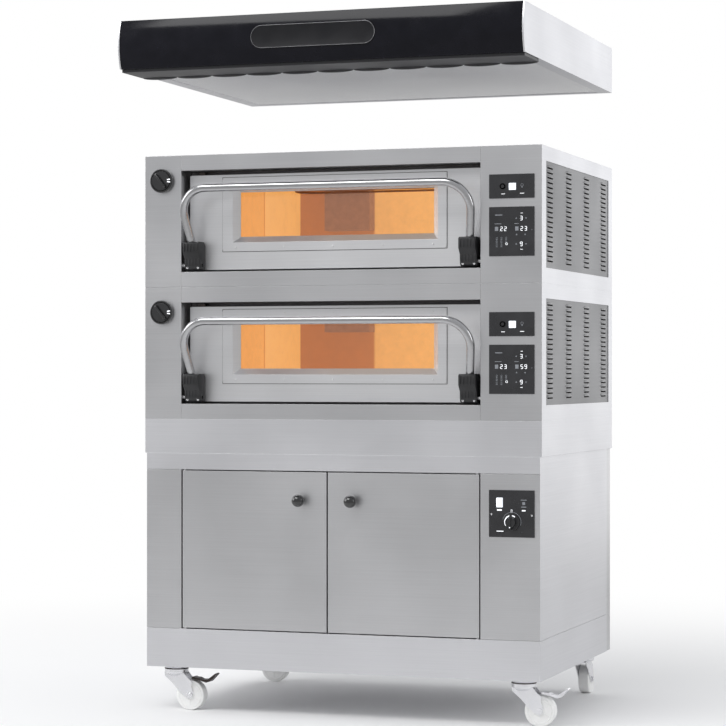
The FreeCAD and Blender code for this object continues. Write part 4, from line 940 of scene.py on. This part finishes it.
def makeThermostat():
    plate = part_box("prover_control_panel")[0]
    x, z = plate.x + thermostat["across"], plate.z + thermostat["rise"]
    face = plate.y
    skirt = startRod("dialSkirt", (x, face - 0.0035, z), thermostat["skirt"], 0.005, "y", 64)
    insetFaces(skirt, facingFront, 0.002)
    extrudeFaces(skirt, facingFront, (0, -0.0018, 0), 0.94, (x, face, z))
    softenEdges(skirt, 0.0007, 2, 25)
    grip = startRod("dialGrip", (x, face - 0.0135, z), thermostat["grip"], 0.0165, "y", 36)
    editFaces(grip, lambda part: abs(part.normal.y) < 0.5 and int(round(math.degrees(
        math.atan2(part.center.x - x, part.center.z - z)) / 10)) % 2 == 0)
    bpy.ops.mesh.inset(thickness=0.0006, depth=0, use_individual=True)
    bpy.ops.mesh.inset(thickness=0.0001, depth=-0.0008, use_individual=True)
    leaveEdit()
    insetFaces(grip, facingFront, 0.0022, -0.0008)
    bar = startBlock("dialBar", (x - 0.0036, face - 0.0243, z - 0.0235),
                     (x + 0.0036, face - 0.008, z + 0.0235))
    resizeFaces(bar, facingFront, (0.6, 1, 0.93), (x, face, z))
    softenEdges(bar, 0.0014, 3)
    knob = joinPieces("thermostatDial", [skirt, grip, bar])
    finishPiece(knob, "thermostat", "black_plastic", "prover_thermostat_knob")
    spot = (x - 0.0005, face - 0.0244, z - thermostat["dotDrop"])
    pointer = startRod("dialDot", spot, thermostat["dot"], 0.0008, "y", 20)
    insetFaces(pointer, facingFront, 0.0004, 0.0002)
    scale = sweepPrint("dialScale", (x, face - 0.0082, z), thermostat["arc"], thermostat["arcWide"],
                       thermostat["arcFrom"], thermostat["arcSweep"])
    marks = joinPieces("dialMarks", [pointer, scale])
    finishPiece(marks, "thermostat", "lit_switch", finish="inkWhite")


proverMarks = {  # millimetres from the panel's left and top edges
    "bars": ((35, 63.5, 16, 4.5), (115, 64.5, 12, 4.0), (37, 131, 23, 2.6)),
    "dim": ((115, 31, 20, 2.2), (115, 42, 9, 9), (115, 53, 17, 3.0)),
    "screws": ((9, 77), (142, 80)), "zero": (75, 66), "dial": (75.5, 101),
}


def dressProverPanel():
    low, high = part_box("prover_control_panel")
    face = low.y - 0.0003
    at = lambda across, down: (low.x + across / 1000, face, high.z - down / 1000)
    bright = printMarks(at, proverMarks["bars"]) + makeDigit("0", *at(*proverMarks["zero"]), 0.008)
    dim = printMarks(at, proverMarks["dim"])
    dim.append(sweepPrint("scaleArc", at(*proverMarks["dial"]), 0.0305, 0.0014, -70, 175))
    finishPiece(joinPieces("proverPanelPrint", bright), "oven", "lit_switch", finish="inkWhite")
    finishPiece(joinPieces("proverPanelPrintDim", dim), "oven", "panel_black", finish="inkDim")
    screws = [makeScrew(at(*spot), 0.0028) for spot in proverMarks["screws"]]
    finishPiece(joinPieces("proverPanelScrews", screws), "oven", "zinc_plate")


makeThermostat()
dressProverPanel()
print("proving cabinet dressed")


# castors: moulded wheels, dark race seals, bearing cups

castorWheel = {"radius": 0.0498, "wide": 0.036, "hub": 0.017, "hubWide": 0.0385, "ring": 0.0395,
               "bead": 0.0044, "ribs": 6, "ribFrom": 0.015, "ribTo": 0.0385, "ribWide": 0.0373}


def makeWheel(corner):
    low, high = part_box(f"castor_wheel_{corner}")
    centre = (low + high) / 2
    axis = "x" if corner == "rear_right" else "y"
    side = Vector((1, 0, 0)) if axis == "x" else Vector((0, 1, 0))
    tyre = startRod("tyre", centre, castorWheel["radius"], castorWheel["wide"], axis, 72)
    softenEdges(tyre, 0.003, 4)
    hub = startRod("hub", centre, castorWheel["hub"], castorWheel["hubWide"], axis, 40)
    softenEdges(hub, 0.0014, 3)
    parts = [tyre, hub]
    for direction in (1, -1):
        spot = centre + side * direction * (castorWheel["wide"] / 2 - 0.001)
        parts.append(startRing("bead", spot, castorWheel["ring"], castorWheel["bead"], axis))
    across = side * (castorWheel["ribWide"] / 2) + Vector((0.0015, 0.0015, 0)) - side * 0.0015
    for step in range(castorWheel["ribs"]):
        rib = startBlock("rib", centre - across + Vector((0, 0, castorWheel["ribFrom"])),
                         centre + across + Vector((0, 0, castorWheel["ribTo"])))
        softenEdges(rib, 0.0007, 1)
        parts.append(turnBy(rib, math.tau * step / castorWheel["ribs"], axis.upper(), tuple(centre)))
    wheel = joinPieces(f"{corner}Wheel", parts)
    finishPiece(wheel, f"wheel_{corner}", "nylon", f"castor_wheel_{corner}")


raceSeal = {"radius": 0.0385, "thick": 0.0046, "inX": 0.052, "inY": 0.042}


def makeRace(corner):
    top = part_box(f"castor_fork_{corner}")[1].z
    low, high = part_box("castor_plates")
    x = low.x + raceSeal["inX"] if "left" in corner else high.x - raceSeal["inX"]
    y = low.y + raceSeal["inY"] if "front" in corner else high.y - raceSeal["inY"]
    spot = (x, y, top - 0.0005)
    seal = startRing(f"{corner}RaceSeal", spot, raceSeal["radius"], raceSeal["thick"], across=12)
    finishPiece(seal, f"swivel_{corner}", "black_plastic", finish="darkSteel")
    cup = startRod(f"{corner}RaceCup", (x, y, top + 0.0045), 0.0372, 0.006, "z", 64)
    resizeFaces(cup, lambda face: face.normal.z > 0.9, (0.93, 0.93, 1), (x, y, 0))
    softenEdges(cup, 0.001, 2)
    finishPiece(cup, "oven", "zinc_plate")


for corner in corners:
    makeWheel(corner)
    makeRace(corner)
print("castors made")


# hood: bowed visor, blank badge, perforated filter

visor = {"bow": 0.014, "thick": 0.003, "lipDeep": 0.026, "lipTall": 0.006}


def makeVisor():
    low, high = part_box("hood_visor")
    tall, bow = high.z - low.z, visor["bow"]
    radius = (tall * tall / 4 + bow * bow) / (2 * bow)
    middle = (low.z + high.z) / 2
    centre = ((low.x + high.x) / 2, low.y + radius, middle)
    sheet = startRod("bowedVisor", centre, radius, high.x - low.x, "x", 220)
    editFaces(sheet, lambda face: abs(face.normal.x) > 0.9)
    bpy.ops.mesh.delete(type="FACE")
    bpy.ops.mesh.select_all(action="SELECT")
    bpy.ops.mesh.bisect(plane_co=(0, low.y + bow, middle), plane_no=(0, 1, 0), clear_outer=True)
    leaveEdit()
    applyModifier(sheet, "SOLIDIFY", thickness=visor["thick"], offset=-1)
    lip = startBlock("visorLip", (low.x, low.y + bow - 0.001, low.z - 0.0005),
                     (high.x, low.y + bow + visor["lipDeep"], low.z + visor["lipTall"]))
    softenEdges(lip, 0.0018, 3)
    softenEdges(sheet, 0.0006, 2, 60)
    sheet = joinPieces("bowedVisor", [sheet, lip])
    finishPiece(sheet, "hood", "visor_black", "hood_visor", angle=25)


badge = {"wide": 0.420, "tall": 0.074, "across": -0.010, "rise": 0.004, "thick": 0.005, "rim": 0.0026}


def makeStadium(name, middle, radius, thick):  # a disc whose two halves are drawn apart
    disc = startRod(name, middle, radius, thick, "y", 64)
    stretch = (badge["wide"] - badge["tall"]) / 2
    for vertex in disc.data.vertices:
        vertex.co.x += stretch if vertex.co.x > middle.x + 1e-6 else -stretch
    return disc


def makeBadge():  # blank plate
    low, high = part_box("hood_visor")
    middle = Vector((badge["across"], low.y + 0.0007, (low.z + high.z) / 2 + badge["rise"]))
    radius = badge["tall"] / 2
    plate = makeStadium("blankBadge", middle, radius, badge["thick"])
    insetFaces(plate, facingFront, badge["rim"], -0.0011)
    softenEdges(plate, 0.0006, 3)
    finishPiece(plate, "hood", "gutter_black", finish="badgePlate")
    ahead = Vector((0, -badge["thick"] / 2 - 0.0002, 0))
    line = makeStadium("badgeRim", middle + ahead, radius - 0.0006, 0.0008)
    editFaces(line, lambda face: abs(face.normal.y) > 0.9)
    bpy.ops.mesh.inset(thickness=0.0011, depth=0)
    bpy.ops.mesh.delete(type="FACE")
    leaveEdit()
    applyModifier(line, "SOLIDIFY", thickness=0.0003, offset=0)
    finishPiece(line, "hood", "zinc_plate", finish="badgeLine")


meshFilter = {"pitch": 0.0085, "wire": 0.0052, "thick": 0.0008, "border": 0.018}


def makeFilter():
    low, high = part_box("hood_filter")
    rim = meshFilter["border"]
    frameParts = [
        startBlock("edge", low, (high.x, low.y + rim, high.z)),
        startBlock("edge", (low.x, high.y - rim, low.z), high),
        startBlock("edge", (low.x, low.y + rim, low.z), (low.x + rim, high.y - rim, high.z)),
        startBlock("edge", (high.x - rim, low.y + rim, low.z), (high.x, high.y - rim, high.z)),
    ]
    for part in frameParts:
        softenEdges(part, 0.0008, 2)
    pitch, wire, thick = meshFilter["pitch"], meshFilter["wire"], meshFilter["thick"]
    countX = int((high.x - low.x - 2 * rim) / pitch)
    countY = int((high.y - low.y - 2 * rim) / pitch)
    runY = startBlock("wires", (low.x + rim, low.y + rim, low.z),
                      (low.x + rim + wire, high.y - rim, low.z + thick))
    repeatPiece(runY, countX + 1, (pitch, 0, 0))
    runX = startBlock("wires", (low.x + rim, low.y + rim, low.z + thick * 0.5),
                      (high.x - rim, low.y + rim + wire, low.z + thick * 1.5))
    repeatPiece(runX, countY + 1, (0, pitch, 0))
    for piece in (runY, runX):
        for vertex in piece.data.vertices:
            vertex.co.x = min(vertex.co.x, high.x - rim * 0.5)
            vertex.co.y = min(vertex.co.y, high.y - rim * 0.5)
    filterPiece = joinPieces("perforatedFilter", frameParts + [runY, runX])
    finishPiece(filterPiece, "hood", "filter_alloy", "hood_filter")


scallop = {"count": 11, "deep": 0.024, "tall": 0.013}


def makeScallops():  # the gutter's hanging rear lip
    low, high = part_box("hood_gutter")
    pitch = (high.x - low.x) / scallop["count"]
    lip = startBall("gutterLip", (0, 0, 0), 0.5, 20)
    lip.data.transform(Matrix.Diagonal((pitch * 0.98, scallop["deep"], scallop["tall"], 1)))
    lip.data.transform(Matrix.Translation((low.x + pitch / 2, high.y - scallop["deep"] / 2, low.z)))
    repeatPiece(lip, scallop["count"], (pitch, 0, 0))
    finishPiece(lip, "hood", "gutter_black")


makeVisor()
makeBadge()
makeFilter()
makeScallops()
print("hood made")


# side vents: pressed louvres over each slot

louvre = {"rows": 20, "columns": 4, "pitch": 0.0157, "columnPitch": 0.247, "start": 0.111, "rise": 0.075,
          "long": 0.074, "tall": 0.0075, "proud": 0.0030}


def makeLouvres(side):
    low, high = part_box("side_vent_panels")
    face = high.x if side > 0 else low.x
    parts = []
    for deck in decks:
        first = Vector((0, frontFace + louvre["start"], deckFoot[deck] + louvre["rise"]))
        hoodlet = startBlock(
            "louvre", (face - 0.0006, first.y - louvre["long"] / 2, first.z - 0.0012),
            (face + side * louvre["proud"], first.y + louvre["long"] / 2, first.z + louvre["tall"]))
        outward = lambda part: part.normal.x * side > 0.9
        resizeFaces(hoodlet, outward, (1, 0.86, 0.35), (face, first.y, first.z - 0.0008))
        softenEdges(hoodlet, 0.0008, 1)
        repeatPiece(hoodlet, louvre["rows"], (0, 0, louvre["pitch"]))
        repeatPiece(hoodlet, louvre["columns"], (0, louvre["columnPitch"], 0))
        parts.append(hoodlet)
    name = "rightLouvres" if side > 0 else "leftLouvres"
    piece = joinPieces(name, parts)
    editFaces(piece, everyFace)
    bpy.ops.mesh.normals_make_consistent(inside=False)
    leaveEdit()
    finishPiece(piece, "oven", "vent_steel")


makeLouvres(1)
makeLouvres(-1)
print("louvres pressed")


# back: cover screws and rubber grommets at the cable entries; bead on the duct collar

backScrews = {"radius": 0.0045, "across": (0.04, 0.27, 0.5, 0.73, 0.96), "down": (0.06, 0.94)}


def makeBackScrews():
    screws = []
    for name in [f"{deck}_casing" for deck in decks] + ["prover_back_cover"]:
        low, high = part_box(name)
        for across in backScrews["across"]:
            for down in backScrews["down"]:
                spot = (low.x + (high.x - low.x) * across, high.y + 0.0008, low.z + (high.z - low.z) * down)
                screws.append(makeScrew(spot, backScrews["radius"], True))
    finishPiece(joinPieces("backScrews", screws), "oven", "zinc_plate")


grommet = {"radius": 0.0135, "thick": 0.0052, "rise": 0.060}
cableEntries = {  # back sheet: across, and the node its rise starts from
    "lower_casing": (0.430, "lower_casing"), "upper_casing": (0.430, "upper_casing"),
    "prover_back_cover": (0.500, "prover_base"),
}


def makeGrommets():
    rings = []
    for name, (x, foot) in cableEntries.items():
        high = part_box(name)[1]
        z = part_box(foot)[0].z + grommet["rise"]
        rings.append(startRing("grommet", (x, high.y, z), grommet["radius"], grommet["thick"], "y", 40))
    finishPiece(joinPieces("cableGrommets", rings), "oven", "black_plastic")


collarBead = {"y": 0.250, "down": 0.012, "radius": 0.0752, "thick": 0.0052}


def makeCollarBead():
    spot = (0, collarBead["y"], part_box("hood_casing")[1].z - collarBead["down"])
    bead = startRing("collarBead", spot, collarBead["radius"], collarBead["thick"], around=72)
    finishPiece(bead, "hood", "stainless")


makeBackScrews()
makeGrommets()
makeCollarBead()
print("back and roof dressed")
